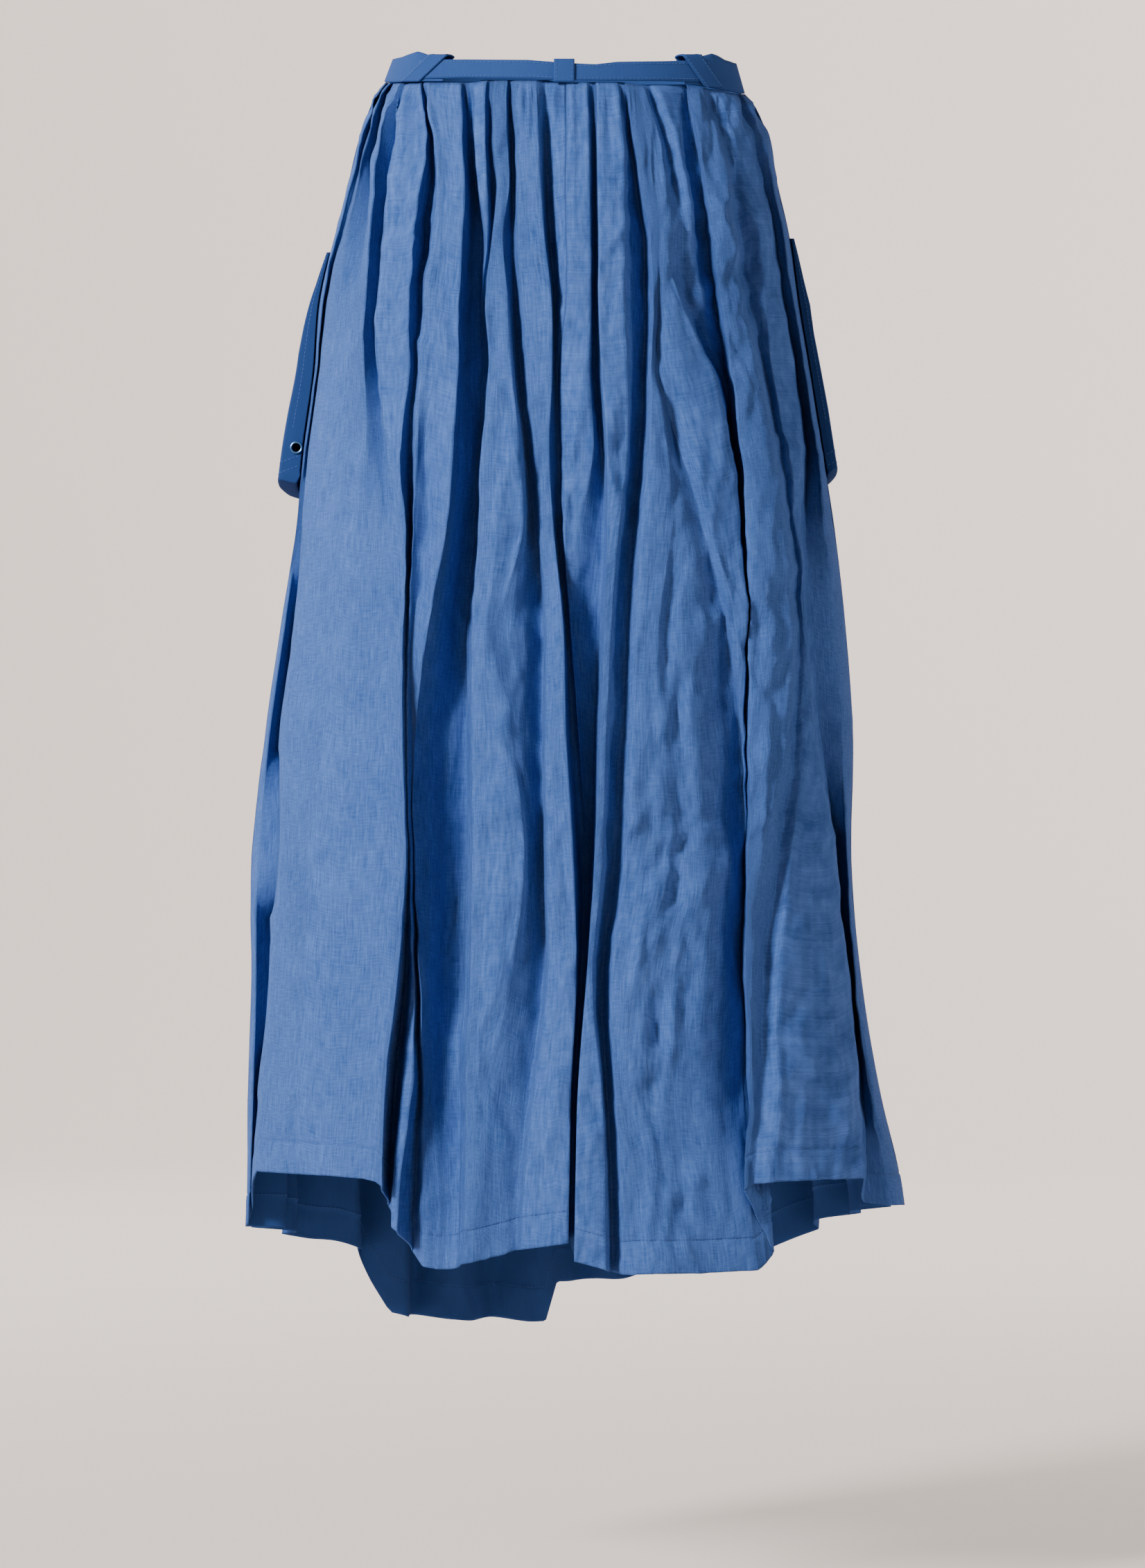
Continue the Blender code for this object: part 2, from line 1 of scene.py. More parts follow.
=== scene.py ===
"""The looks of a worn maxi skirt: gathered linen back, longer cotton front, standing side
pockets, waistband, belt and loops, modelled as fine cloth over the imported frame.

Sizes are in millimetres and become metres as each mesh is made. Places across and up are
as they look from straight behind at the plane of the side seams, as in the frame, and
true_place moves them to where they are. Creases are placed in the photograph's pixels.
"""
import math

import bmesh
import bpy
import numpy as np
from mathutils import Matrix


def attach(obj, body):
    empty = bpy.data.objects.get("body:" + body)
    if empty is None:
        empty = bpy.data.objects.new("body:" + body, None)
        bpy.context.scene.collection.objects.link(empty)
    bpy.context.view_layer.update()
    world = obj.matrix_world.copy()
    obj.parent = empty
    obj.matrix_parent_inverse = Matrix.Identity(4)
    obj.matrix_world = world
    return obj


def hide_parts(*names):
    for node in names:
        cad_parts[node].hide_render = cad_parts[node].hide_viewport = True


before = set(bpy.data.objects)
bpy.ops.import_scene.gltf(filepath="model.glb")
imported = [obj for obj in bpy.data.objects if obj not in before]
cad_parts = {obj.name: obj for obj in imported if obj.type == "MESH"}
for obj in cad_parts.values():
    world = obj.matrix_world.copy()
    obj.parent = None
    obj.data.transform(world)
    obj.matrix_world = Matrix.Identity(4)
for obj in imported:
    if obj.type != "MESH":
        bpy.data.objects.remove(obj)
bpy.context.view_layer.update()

MM = 0.001
PX = 0.5
PX_X0 = 816.0
PX_Y0 = 120.0
CLOTH = 0.9
BAND_CLOTH = 1.5
SEAM_GAP = 0.3
BAND_SEAM_GAP = 0.6
VIEW_DISTANCE = 4000.0
VIEW_X = 5.0
VIEW_Z = -505.75
FRAME_HIGH = 2263 * PX

DEPTH_LEVELS = np.array([2.5, 105.0, 250.0, 390.0, 565.0, 790.0, 850.0])
BACK_DEPTH = np.array([97.0, 124.0, 143.0, 155.0, 163.0, 175.0, 178.0])
FRONT_DEPTH = np.array([95.0, 116.0, 134.0, 150.0, 166.0, 180.0, 184.0])

# Heights in the photograph at which each fold line was read
LEVEL_PX = (125, 200, 270, 330, 430, 540, 640, 760, 900, 1060, 1250, 1420, 1580, 1700, 1820)
LEVELS = (np.array(LEVEL_PX) - PX_Y0) * PX

ON_OUTLINE = (0,) * len(LEVEL_PX)
# The back's fold lines, left to right. For each: its place across at every height, in the
# photograph's pixels, how deep it lies inside the outline in mm, and its hem's drop.
# Two pairs may follow, each for the line's left and right: how crisply the cloth turns
# there, and how far it curls back under the line. They are 0 where they aren't given.
FOLDS = (
    # name, across, deep, hem, crisp, tuck
    ("left side", (546, 519, 502, 487, 463, 454, 440, 428, 406, 383, 363, 363, 358, 357, 354),
     ON_OUTLINE, 825),
    ("side strip", (549, 524, 507, 492, 468, 458, 443, 431, 412, 390, 372, 370, 366, 362, 358),
     (0, 0, 0, 0, 0, 1, 1, 2, 2, 2, 2, 2, 2, 2, 2), 823),
    ("notch", (552, 529, 512, 497, 472, 461, 444, 434, 424, 406, 400, 386, 374, 366, 362),
     (4, 4, 3, 3, 4, 4, 4, 6, 10, 12, 14, 18, 8, 5, 4), 815),
    ("A left edge", (555, 533, 516, 502, 477, 465, 447, 438, 428, 411, 405, 393, 380, 370, 364),
     (0, 0, 0, 0, 0, 0, 0, 0, 0, -2, -3, -5, -5, -6, -6), 785, (0.9, 0), (1, 0)),
    ("A valley", (565, 545, 533, 527, 512, 505, 498, 488, 480, 465, 450, 440, 430, 425, 420),
     (8, 9, 9, 8, 1, 0, 1, 1, 0, 0, -1, -2, -3, -3, -3), 787, (0.3, 0.6)),
    ("A crown", (570, 551, 541, 536, 528, 526, 528, 525, 515, 505, 495, 490, 480, 475, 470),
     (0, 0, 0, 0, 0, 0, 0, 0, -2, -3, -5, -6, -7, -8, -8), 788),
    ("A trough", (584, 569, 558, 553, 545, 542, 553, 560, 560, 560, 560, 550, 535, 525, 520),
     (7, 12, 14, 15, 14, 12, 9, 1, -2, -3, -6, -7, -9, -10, -10), 790, (0.5, 0.8)),
    ("A right plane", (589, 574, 564, 559, 551, 547, 560, 572, 572, 571, 575, 565, 549, 542, 540),
     (0, 0, 0, 0, 0, 0, 0, -1, -3, -4, -7, -9, -11, -12, -12), 792),
    ("A right edge", (604, 617, 608, 601, 590, 591, 578, 586, 583, 581, 586, 573, 555, 552, 556),
     (0, 0, 0, 0, 0, 0, -1, -2, -4, -5, -7, -9, -11, -12, -12), 796, (0, 1.0), (0, 3)),
    ("B valley", (608, 623, 621, 614, 605, 598, 591, 592, 587, 584, 589, 583, 568, 562, 562),
     (6, 15, 19, 22, 19, 10, 16, 17, 6, 3, 10, 26, 28, 26, 24), 812),
    ("B fold", (612, 627, 630, 627, 612, 603, 600, 597, 590, 587, 592, 593, 580, 568, 566),
     (2, 2, 2, 2, 2, 2, 3, 4, 2, 3, 6, 10, 8, 3, 1), 826, (0.8, 0), (1, 0)),
    ("B back", (616, 631, 634, 632, 617, 608, 604, 600, 593, 590, 594, 598, 596, 578, 574),
     (0, 1, 1, 1, 1, 1, 4, 6, 3, 4, 8, 10, 5, 2, 1), 829, (0, 0.8), (0, 1)),
    ("C valley", (622, 637, 640, 640, 630, 625, 614, 620, 596, 594, 596, 602, 604, 600, 596),
     (1, 1, 1, 1, 1, 1, 10, 13, 6, 10, 20, 26, 32, 32, 32), 846),
    ("C face", (664, 668, 672, 668, 664, 662, 655, 646, 619, 600, 598, 608, 612, 612, 612),
     (0, 0, 0, 0, 0, 0, 1, 3, 4, 12, 15, 13, 22, 25, 25), 856, (0, 0.6), (0, 1.5)),
    ("C dip", (672, 676, 680, 680, 673, 669, 663, 655, 640, 622, 620, 622, 625, 630, 630),
     (8, 16, 22, 26, 26, 24, 14, 12, 19, 28, 28, 25, 29, 28, 26), 858),
    ("C ridge", (674, 679, 684, 686, 683, 684, 683, 670, 655, 652, 645, 640, 640, 645, 645),
     (8, 16, 24, 27, 29, 30, 31, 33, 40, 45, 45, 43, 38, 31, 25), 858),
    ("D valley", (678, 681, 687, 692, 692, 694, 690, 684, 674, 672, 672, 666, 662, 662, 660),
     (8, 17, 27, 28, 32, 34, 36, 42, 48, 50, 50, 48, 42, 33, 26), 857),
    ("D0 edge", (682, 685, 692, 702, 695, 697, 692, 686, 676, 675, 675, 671, 666, 665, 664),
     (1, 1, 2, 8, 31, 33, 35, 39, 43, 44, 44, 42, 38, 31, 25), 856, (0.8, 0), (1, 0)),
    ("D0 crown",
     (700, 702, 705, 706, 697, 698.5, 693, 687, 677.5, 676.5, 676.5, 673, 667.5, 666.5, 665.5),
     (0, 0, 1, 9, 31, 33, 35, 39, 43, 44, 44, 42, 38, 31, 25), 855, (0, 0.5)),
    ("D0 valley", (708, 709, 711, 708, 698.5, 700, 694, 688, 679, 678, 678, 675, 669, 668, 667),
     (9, 12, 14, 13, 31, 33, 34, 38, 42, 43, 43, 41, 37, 30, 24), 854),
    ("D left edge", (713, 714, 718, 711, 701, 704, 696, 690, 682, 680, 681, 678, 672, 671, 670),
     (1, 1, 2, 2, 0, 0, 0, 0, 0, 0, 0, 0, 0, 0, 0), 852, (1.0, 0), (3, 0)),
    ("D plane", (722, 724, 727, 719, 715, 718, 712, 710, 702, 700, 700, 694, 684, 683, 682),
     (0, 0, 0, 1, 0, -1, -2, -2, -2, -2, -2, -1, 0, 0, 0), 851),
    ("D crown", (731, 733, 735, 726, 733, 740, 750, 755, 722, 738, 757, 735, 705, 700, 700),
     (0, 0, 0, 2, 1, 0, 0, 0, 0, 1, 1, 1, 2, 2, 2), 849, (0, 0.6), (0, 1)),
    ("D fall", (735, 735.5, 737, 733, 738, 745, 756, 762, 752, 760, 768, 760, 740, 730, 726),
     (7, 9, 10, 9, 12, 13, 14, 16, 9, 12, 14, 12, 10, 8, 7), 846),
    ("E valley", (738, 739, 740, 740, 744, 752, 762, 772, 783, 782, 783, 784, 764, 750, 744),
     (8, 11, 14, 15, 17, 19, 21, 23, 24, 24, 22, 22, 15, 11, 9), 843, (0, 0.4)),
    ("E plane", (744, 746, 750, 750, 756, 764, 772, 780, 789, 788, 790, 791, 772, 758, 752),
     (1, 1, 1, 1, 3, 7, 11, 14, 9, 6, 6, 7, 5, 4, 3), 842),
    ("E crown", (774, 778, 781, 785, 796, 797, 793, 799, 813, 817, 828, 832, 824, 822, 820),
     (0, 0, 0, 0, 1, 4, 9, 10, 1, 0, 0, 0, -3, -4, -4), 837, (0, 0.8), (0, 2)),
    ("F valley", (787, 788, 790, 793, 801, 802, 803, 806, 817, 825, 838, 836, 827, 824, 822),
     (9, 14, 18, 20, 20, 18, 22, 28, 34, 36, 36, 24, 20, 16, 14), 834),
    ("F rise", (802, 803, 804, 806, 808, 803.5, 805, 808, 819, 830, 841, 837, 828, 825, 823),
     (5, 7, 7, 9, 10, 18, 23, 28, 34, 36, 38, 26, 21, 16, 14), 838),
    ("centre back", (816, 816, 815, 816, 816, 805, 807, 810, 820, 832, 843, 838, 829, 826, 824),
     (3, 3, 4, 4, 4, 17, 22, 27, 32, 34, 38, 26, 20, 15, 13), 842, (0.4, 0.4)),
    ("F left edge",
     (819, 819, 819, 819, 820, 812, 815, 813, 822.5, 834.5, 845, 839.5, 830, 827, 825),
     (1, 1, 1, 1, 1, 7, 12, 16, 26, 30, 38, 26, 19, 14, 12), 842.5, (0.3, 0)),
    ("F crown", (847, 849, 850, 851, 852, 850, 856, 838, 832, 840, 848, 841, 831, 828, 826),
     (0, 0, 0, 0, 0, 0, 3, 15, 27, 33, 38, 25, 18, 13, 11), 843, (0, 0.5), (0, 1)),
    ("G valley", (856, 856, 857, 857, 857, 858, 867, 871, 864, 857, 852, 843, 832, 829, 827),
     (8, 11, 13, 15, 15, 17, 19, 20, 28, 34, 36, 23, 17, 12, 10), 845),
    ("G left edge", (861, 861, 862, 863, 863, 868, 874, 876, 872, 866, 857, 845, 833, 830, 828),
     (1, 1, 1, 1, 1, 0, 0, 0, 0, 0, 0, -2, -4, -5, -5), 850, (0.9, 0), (2, 0)),
    ("G crown", (891, 898, 900, 901, 899, 905, 907, 893, 882, 874, 868, 854, 868, 873, 874),
     (0, 0, 0, 0, 0, 0, 0, 0, 0, 1, 1, -1, -4, -5, -5), 856, (0, 0.5), (0, 1)),
    ("H fall", (896, 904, 909, 913, 914, 916, 914, 902, 892, 884, 876, 861, 871, 877, 879),
     (6, 8, 10, 12, 14, 15, 15, 14, 12, 13, 15, 15, 9, 6, 5), 858),
    ("H valley", (900, 909, 919, 929, 932, 928, 924, 912, 905, 896, 886, 868, 875, 881, 883),
     (7, 13, 18, 21, 23, 21, 21, 19, 17, 19, 20, 20, 16, 13, 12), 859),
    ("H left edge", (905, 914, 926, 937, 942, 940, 937, 925, 918, 912, 903, 882, 888, 895, 898),
     (1, 1, 1, 0, 0, 0, 1, 3, 3, 3, 3, 3, 3, 2, 2), 860, (0.7, 0), (0.5, 0)),
    ("H left crown", (911, 922, 933, 942, 945, 945, 962, 966, 950, 948, 945, 915, 908, 930, 940),
     (0, 0, 0, 0, 1, 1, 0, 0, 0, 0, 0, 0, 0, 0, 0), 859),
    ("H2 valley", (914, 925, 936, 944, 947, 947, 967, 976, 960, 972, 982, 950, 955, 960, 965),
     (0, 0, 0, 0, 2, 3, 2, 3, 6, 6, 5, 4, 3, 2, 1), 859),
    ("H2 ridge", (917, 928, 938, 945, 948, 949, 971, 988, 992, 1000, 1008, 990, 990, 1005, 1015),
     (0, 0, 0, 0, 3, 4, 3, 4, 3, 4, 5, 5, 4, 3, 3), 859),
    ("slanted dip",
     (920, 932, 941, 947, 950, 952, 979, 1012, 1045, 1067, 1070, 1068, 1066, 1075, 1090),
     (0, 0, 0, 0, 4, 6, 7, 9, 11, 19, 24, 24, 20, 5, 4), 857, (0, 0.4)),
    ("H plane", (924, 937, 945, 949, 957, 968, 995, 1028, 1054, 1069, 1071, 1070, 1071, 1082, 1097),
     (0, 0, 0, 0, 1, 1, 2, 2, 2, 15, 25, 25, 21, 6, 5), 855),
    ("H crown",
     (930, 952, 958, 955, 981, 1031, 1052, 1069, 1075, 1073, 1072, 1071.5, 1074, 1090, 1104),
     (0, 0, 0, 0, 0, 0, 0, 0, 0, 10, 25, 26, 22, 7, 6), 852, (0, 0.7), (0, 1)),
    ("H dip",
     (938, 961, 974, 983, 992, 1040, 1056, 1071, 1076.5, 1074.5, 1073, 1072.5, 1076, 1097, 1109),
     (6, 8, 8, 6, 14, 25, 26, 23, 17, 20, 26, 27, 22, 8, 7), 849),
    ("J0 ridge",
     (948, 975, 990, 998, 1010, 1043, 1058, 1072, 1077, 1075.5, 1074, 1073, 1077.5, 1103, 1113),
     (0, 0, 1, 4, 11, 26, 27, 24, 18, 21, 27, 27, 22, 9, 8), 847, (0, 0.3)),
    ("J valley",
     (982, 989, 999, 1007, 1022, 1046, 1060, 1073, 1077.5, 1076.5, 1075, 1073.5, 1079, 1107, 1115),
     (7, 11, 14, 16, 17, 27, 28, 24, 18, 22, 27, 27, 22, 9, 8), 845),
    ("K valley",
     (990, 999, 1009, 1019, 1033, 1049, 1062, 1074, 1078, 1077.5, 1076, 1074.5, 1080, 1098, 1103),
     (8, 12, 15, 18, 21, 27, 28, 24, 18, 22, 26, 26, 20, 9, 7), 830),
    ("K left edge",
     (995, 1003, 1014, 1025, 1039, 1053, 1067, 1076, 1079, 1079, 1079, 1076, 1082, 1072, 1071),
     (0, 0, 0, 0, 0, 0, 0, 0, 0, 0, -2, -4, -6, -6, -6), 799, (1.0, 0), (2, 0)),
    ("K crown",
     (1014, 1034, 1047, 1058, 1069, 1093, 1115, 1130, 1142, 1134, 1097, 1082, 1088, 1078, 1077),
     (0, -1, -2, -3, -4, -5, -6, -6, -6, -6, -5, -6, -7, -7, -7), 797, (0, 0.4)),
    ("L valley",
     (1022, 1042, 1056, 1070, 1084, 1106, 1126, 1143, 1152, 1147, 1121, 1101, 1098, 1088, 1086),
     (6, 7, 8, 9, 10, 9, 9, 9, 7, 6, 6, 2, -3, -5, -5), 794, (0.2, 0)),
    ("L plane",
     (1030, 1050, 1066, 1082, 1094, 1110, 1130, 1148, 1156, 1158, 1140, 1125, 1125, 1120, 1120),
     (3, 4, 5, 6, 6, 6, 6, 6, 5, 2, -1, -5, -9, -11, -11), 792),
    ("L crown",
     (1040, 1062, 1078, 1092, 1104, 1114, 1134, 1151, 1158, 1172, 1168, 1160, 1160, 1160, 1160),
     (0, 1, 2, 2, 3, 3, 4, 5, 4, 0, -2, -4, -8, -10, -10), 791),
    ("flare edge",
     (1055, 1079, 1096, 1110, 1124, 1142, 1156, 1157, 1161, 1179, 1204, 1223, 1238, 1243, 1247),
     (1, 2, 3, 4, 4, 5, 6, 6, 4, 0, 0, 0, -2, -4, -4), 790, (0, 0.9), (0, 2)),
    ("M valley",
     (1061, 1085, 1102, 1116, 1130, 1148, 1163, 1162, 1167, 1186, 1208, 1227, 1243, 1247, 1251),
     (6, 6, 7, 7, 8, 9, 10, 14, 9, 12, 12, 9, 8, 12, 12), 808),
    ("side ridge",
     (1072, 1098, 1115, 1127, 1142, 1158, 1174, 1190, 1205, 1216, 1222, 1231, 1252, 1280, 1290),
     ON_OUTLINE, 810),
    ("right side",
     (1078, 1108, 1122, 1136, 1150, 1168, 1184, 1203, 1219, 1230, 1228, 1243, 1270, 1298, 1312),
     ON_OUTLINE, 809),
)
FOLDS = [fold + ((0, 0), (0, 0))[len(fold) - 4:] for fold in FOLDS]
CENTRE_BACK = [fold[0] for fold in FOLDS].index("centre back")
COLUMN_SPACING = 2.0
CURL = 2.8
FEWEST_COLUMNS = 3
MOST_COLUMNS = 16
BACK_ROWS = 168
FRONT_ROWS = 100
HEM_DEEP = 23.0
# How far above the hem's edge the closely spaced last rows lie, in mm, and which is sewn
HEM_ROWS = np.array([27, 25.5, 24.5, 23.8, 23, 22.2, 21, 18, 13, 8, 4, 1.5, 0])
HEM_SEWN_ROW = 4
BACK_LONG = 810.0
HEM_PROUD = 0.45
HEM_GROOVE = 0.5
# Where the front's hem meets the sides, down from the waist seam
HEM_LEVEL = 790.0

# The waist seam across the back: place across, height
SEAM_TOP = np.array([(-135, 0), (-128, 0), (-108, 1), (-68, 1), (-63, 2.5), (-13, 2.5), (-8, 1),
                     (42, 1), (57, -1), (92, -1), (108, -3.5), (132, -8.5)])
PUCKER_DEEP = 6.5
PUCKER_SHARE = 0.7
PUCKER_REACH = 5.0

FRONT_SEAM_DIP = 16.0
FRONT_WIDE_FOLDS = 12
FRONT_FOLDS = 20
FRONT_GATHERS = 34
FRONT_COLUMNS = 16
FRONT_HEM_WAVE = 2.2
FRONT_LINEN_SHARE = 0.5
FRONT_CREASE_SHARE = 0.6
FRONT_PROUD = -0.3
# How deep the front's folds are at DEPTH_LEVELS
FRONT_FOLD_DEEP = np.array([7.0, 13.0, 20.0, 26.0, 32.0, 37.0, 38.0])
# The front's hem: place across as seen from behind, drop
FRONT_HEM = np.array([(-230, 825), (-178, 836), (-150, 843), (-137, 886), (-93, 890), (-20, 893),
                      (-10, 864), (60, 858), (130, 850), (160, 836), (192, 820), (244, 809)])

BINDING_DEEP = 11.2
BINDING_CLOTH = 1.0
BINDING_RISE = 1.2
BINDING_DROP = 8.0
BAND_DEEP = 5.5
BAND_LEAN = 6.0
# The waistband's top edge: degrees round the skirt, height
BAND_TOP = np.array([(130, 14), (134, 16.5), (139, 19.2), (143, 22), (147.5, 23.5), (153, 21.5),
                     (160, 19), (170, 17.5), (180, 16.5), (225, 12.5), (270, 10.5), (315, 11.5),
                     (350, 13), (360, 13.5), (370, 14.5), (380, 17), (386, 20.5), (390, 22),
                     (399, 19.3), (405, 17), (410, 14)])
# How deep the waistband's bottom edge lies: degrees round the skirt, depth
BAND_BOTTOM = np.array([(330, 5.5), (355, 3.0), (368, 3.0), (388, 5.5)])
SIDE_LOOP_TOP = 20.2
BAND_END_LEFT = -88.0
BAND_END_RIGHT = 86.0
BELT_DEEP = 3.7
BELT_CLOTH = 1.2
# The belt: place across, heights of its top and bottom edges
BELT = np.array([(-106, 17.5, 3.6), (-74, 17.6, 4.4), (-28, 17.4, 3.8), (0, 15.2, 2.8),
                 (22, 14.2, 2.4), (38, 16.0, 2.2), (72, 16.4, 2.0), (104, 17.0, 1.0)])
# Each loop: places across of its foot and its head, width
LOOPS = (("loop_left", -113.0, -93.0, 13.5),
         ("loop_centre", -1.0, -1.0, 15.0),
         ("loop_right", 108.0, 92.0, 13.5))
LOOP_CLOTH = 1.2
LOOP_STEPS = 12

# How far each pocket stands off the side: drop, distance
POCKET_STAND = {
    "pocket_left": ((122, 3.4), (145, 5.5), (177, 10.5), (195, 13), (235, 15.5), (286, 17)),
    "pocket_right": ((112, 3.6), (135, 6), (160, 8.8), (180, 8.2), (235, 9.6), (272, 9.4)),
}
# The drop of each pocket's bottom: at the side, at its rear corner and at the front
POCKET_HEM = {"pocket_left": (280, 286, 298), "pocket_right": (281, 277, 290)}
POCKET_REACH = 78.0
POCKET_REST = 3.2
POCKET_EDGE = 1.5
POCKET_BELLY = 3.0
EYELET_ACROSS = -194.2
EYELET_DROP = 263.0
EYELET_CUT = 3.5
# The eyelet's hole goes through the rear edge only, which lies behind this, in metres
EYELET_REAR = 0.006
# Shares down a pocket for its rows, close together round the eyelet
POCKET_DOWN = np.concatenate([np.linspace(0, 1, 56), np.linspace(0.826, 0.9, 18)])
POCKET_DOWN = np.unique(POCKET_DOWN.round(4))
POCKET_UNDER = 7

# Creases of the back: from and to in pixels, width and height in millimetres.
# A height below 0 is a trough.
CREASES = (
    (505, 1080, 560, 1128, 3.5, 1.6), (560, 1128, 580, 1140, 3.0, 1.2),
    (450, 1245, 478, 1212, 3.5, 1.4), (570, 1000, 584, 985, 2.5, 1.0),
    (715, 880, 745, 840, 3.5, 1.4), (690, 1490, 725, 1410, 4.0, 1.6),
    (700, 1340, 745, 1290, 3.0, 1.2), (420, 1580, 450, 1570, 3.0, 1.0),
    (535, 1280, 560, 1340, 4.0, 1.2), (925, 1380, 1000, 1290, 4.0, 1.6),
    (905, 1460, 940, 1420, 3.5, 1.2), (905, 1570, 1000, 1490, 4.5, 1.8),
    (960, 1400, 970, 1480, 3.0, 1.2), (1105, 1060, 1096, 1220, 3.5, 1.4),
    (1150, 1500, 1200, 1610, 4.0, 1.8), (1200, 1610, 1240, 1650, 4.0, 1.4),
    (1055, 555, 1073, 525, 3.0, 1.2), (1080, 652, 1118, 685, 3.5, -1.4),
    (770, 380, 785, 340, 2.5, 1.0),
    (730, 470, 746, 590, 3.0, 2.2), (728, 545, 708, 590, 2.6, 1.8),
    (742, 655, 730, 680, 2.6, 1.8), (730, 680, 712, 770, 2.8, 2.0),
    (745, 1300, 720, 1310, 2.8, 1.8), (720, 1310, 690, 1345, 2.8, 1.6),
    (725, 1410, 697, 1480, 3.0, 2.0), (502, 1075, 570, 1140, 2.8, 1.6),
    (477, 1213, 455, 1247, 2.6, 1.4), (538, 1280, 567, 1350, 2.8, 1.5),
    (400, 1590, 447, 1573, 2.6, 1.2), (920, 285, 885, 345, 2.6, 1.8),
    (975, 1250, 912, 1300, 3.0, 2.2), (1000, 1275, 965, 1325, 2.8, 2.0),
    (965, 1325, 910, 1400, 2.8, 2.0), (938, 1425, 905, 1550, 3.0, 2.0),
    (963, 1400, 970, 1490, 2.6, 1.8), (980, 1500, 905, 1580, 3.0, 2.2),
    (1050, 1270, 1075, 1335, 2.8, 1.6), (1000, 1455, 985, 1480, 2.6, 1.6),
    (1083, 650, 1120, 682, 2.6, 1.8), (1107, 1060, 1098, 1210, 2.8, 2.0),
    (1155, 1450, 1190, 1500, 2.8, 2.0), (1190, 1500, 1220, 1560, 2.8, 2.0),
    (1150, 1500, 1195, 1580, 3.0, 2.2), (1195, 1580, 1222, 1640, 2.8, 1.8),
)
CREASE_STRENGTH = 0.85
CREASE_SHOULDER = 0.35

# Random creases: how many, how often one is long, and where they lie
SMALL_CREASES = 330
EVERY_LONG = 4
CREASES_ACROSS = (-225, 240)
CREASES_FROM = 30
CREASES_DOWN = 790
CREASE_SOFT_SIDE = 3.4
# The back's smooth left plane lies left of SMOOTH_LEFT, and is calmer still below SMOOTH_FROM
SMOOTH_LEFT = -112.0
SMOOTH_FROM = 330
SMOOTH_SHARE = 0.45
# Crumples: strength, then cell across and down, lean and seed for each of two directions
CRUMPLES = (
    (2.0, (15.0, 62.0, 0.12, 31), (17.0, 58.0, -0.16, 33)),
    (0.8, (13.0, 27.0, 0.55, 35), (14.0, 30.0, -0.6, 37)),
    (0.55, (7.0, 14.0, 0.3, 39), (7.5, 13.0, -0.4, 41)),
)
GATHER_HIGH = 2.3

STITCH_PITCH = 3.0
STITCH_LONG = 2.3
STITCH_WIDE = 0.6
STITCH_HIGH = 0.28
STITCH_SUNK = 0.05
STITCH_SIDES = 6
# A stitch's rings: share along it, and share of its full thickness
STITCH_RINGS = ((0.0, 0.45), (0.25, 1.0), (0.75, 1.0), (1.0, 0.45))
LINE_POINTS = 1500

# Cloth: light and dark colour, thread in mm, strength of the slubs and of the relief
LINEN = ((0.090, 0.188, 0.535), (0.026, 0.080, 0.285), 0.9, 1.35, 1.0)
COTTON = ((0.032, 0.085, 0.28), (0.022, 0.062, 0.22), 0.5, 0.5, 0.25)
# The pockets' cotton is the same cloth made darker: painted shade, for the shade that the pockets
# stand in
POCKET_COTTON_PAINTED_SHADE = ((0.021, 0.058, 0.20), (0.015, 0.043, 0.155), 0.5, 0.5, 0.25)
# Speckled materials: scale, dark and light colour, roughness
EYELET_METAL = (900.0, (0.06, 0.17, 0.36), (0.14, 0.32, 0.58), 0.32)
THREAD = (2600.0, (0.030, 0.085, 0.29), (0.055, 0.13, 0.38), 0.6)

STAGE_FLOOR = -1.09
STAGE_WALL = 7.0
STAGE_CURVE = 2.4
STAGE_TOP = 6.0
STAGE_PALE = (0.74, 0.662, 0.613, 1)
STAGE_GLOW = (0.45, 0.405, 0.372, 1)
STAGE_SIDES = 96
CURVE_STEPS = 16
# The floor's share of the backdrop's glow, and how high above it the full glow begins
FLOOR_GLOW = 0.76
GLOW_RISE = 1.2
WORLD_COLOUR = (1.0, 0.97, 0.94, 1)
WORLD_POWER = 0.04
# The key light's spread in degrees, then each lamp with its sizes in metres and watts
KEY_SPREAD = 75
LIGHTS = (
    # name, place, target, size, power, colour
    ("key", (-2.75, -3.05, 1.6), (0, 0, -0.45), (0.8, 1.1), 54, (1.0, 0.98, 0.95)),
    ("fill", (3.6, -1.2, 0.6), (0, 0, -0.5), (1.0, 1.4), 40, (1.0, 0.98, 0.96)),
    ("back", (-3.2, 2.6, 1.6), (0, 0, -0.4), (0.8, 1.0), 150, (1.0, 0.98, 0.96)),
    ("wall left", (-1.8, 2.4, 2.8), (-1.0, 7.0, 0.6), (1.6, 1.6), 75, (1.0, 0.97, 0.94)),
    ("wall right", (1.8, 2.4, 2.8), (1.6, 7.0, 0.6), (1.6, 1.6), 250, (1.0, 0.97, 0.94)),
)


def along(levels, values, drop):
    """A smooth curve through values at levels, read at each drop below the waist seam."""
    values = np.asarray(values, float)
    slopes = np.gradient(values, levels)
    k = np.clip(np.searchsorted(levels, drop) - 1, 0, len(levels) - 2)
    span = levels[k + 1] - levels[k]
    t = np.clip((drop - levels[k]) / span, 0, 1)
    curve = ((1 + 2 * t) * (1 - t) ** 2 * values[k] + t * (1 - t) ** 2 * span * slopes[k]
             + t * t * (3 - 2 * t) * values[k + 1] + t * t * (t - 1) * span * slopes[k + 1])
    above = np.minimum(drop - levels[0], 0) * slopes[0]
    below = np.maximum(drop - levels[-1], 0) * slopes[-1]
    return curve + above + below


def line_across(line, drop):
    return along(LEVELS, (np.array(FOLDS[line][1], float) - PX_X0) * PX, drop)


def line_deep(line, drop):
    return along(LEVELS, FOLDS[line][2], drop)


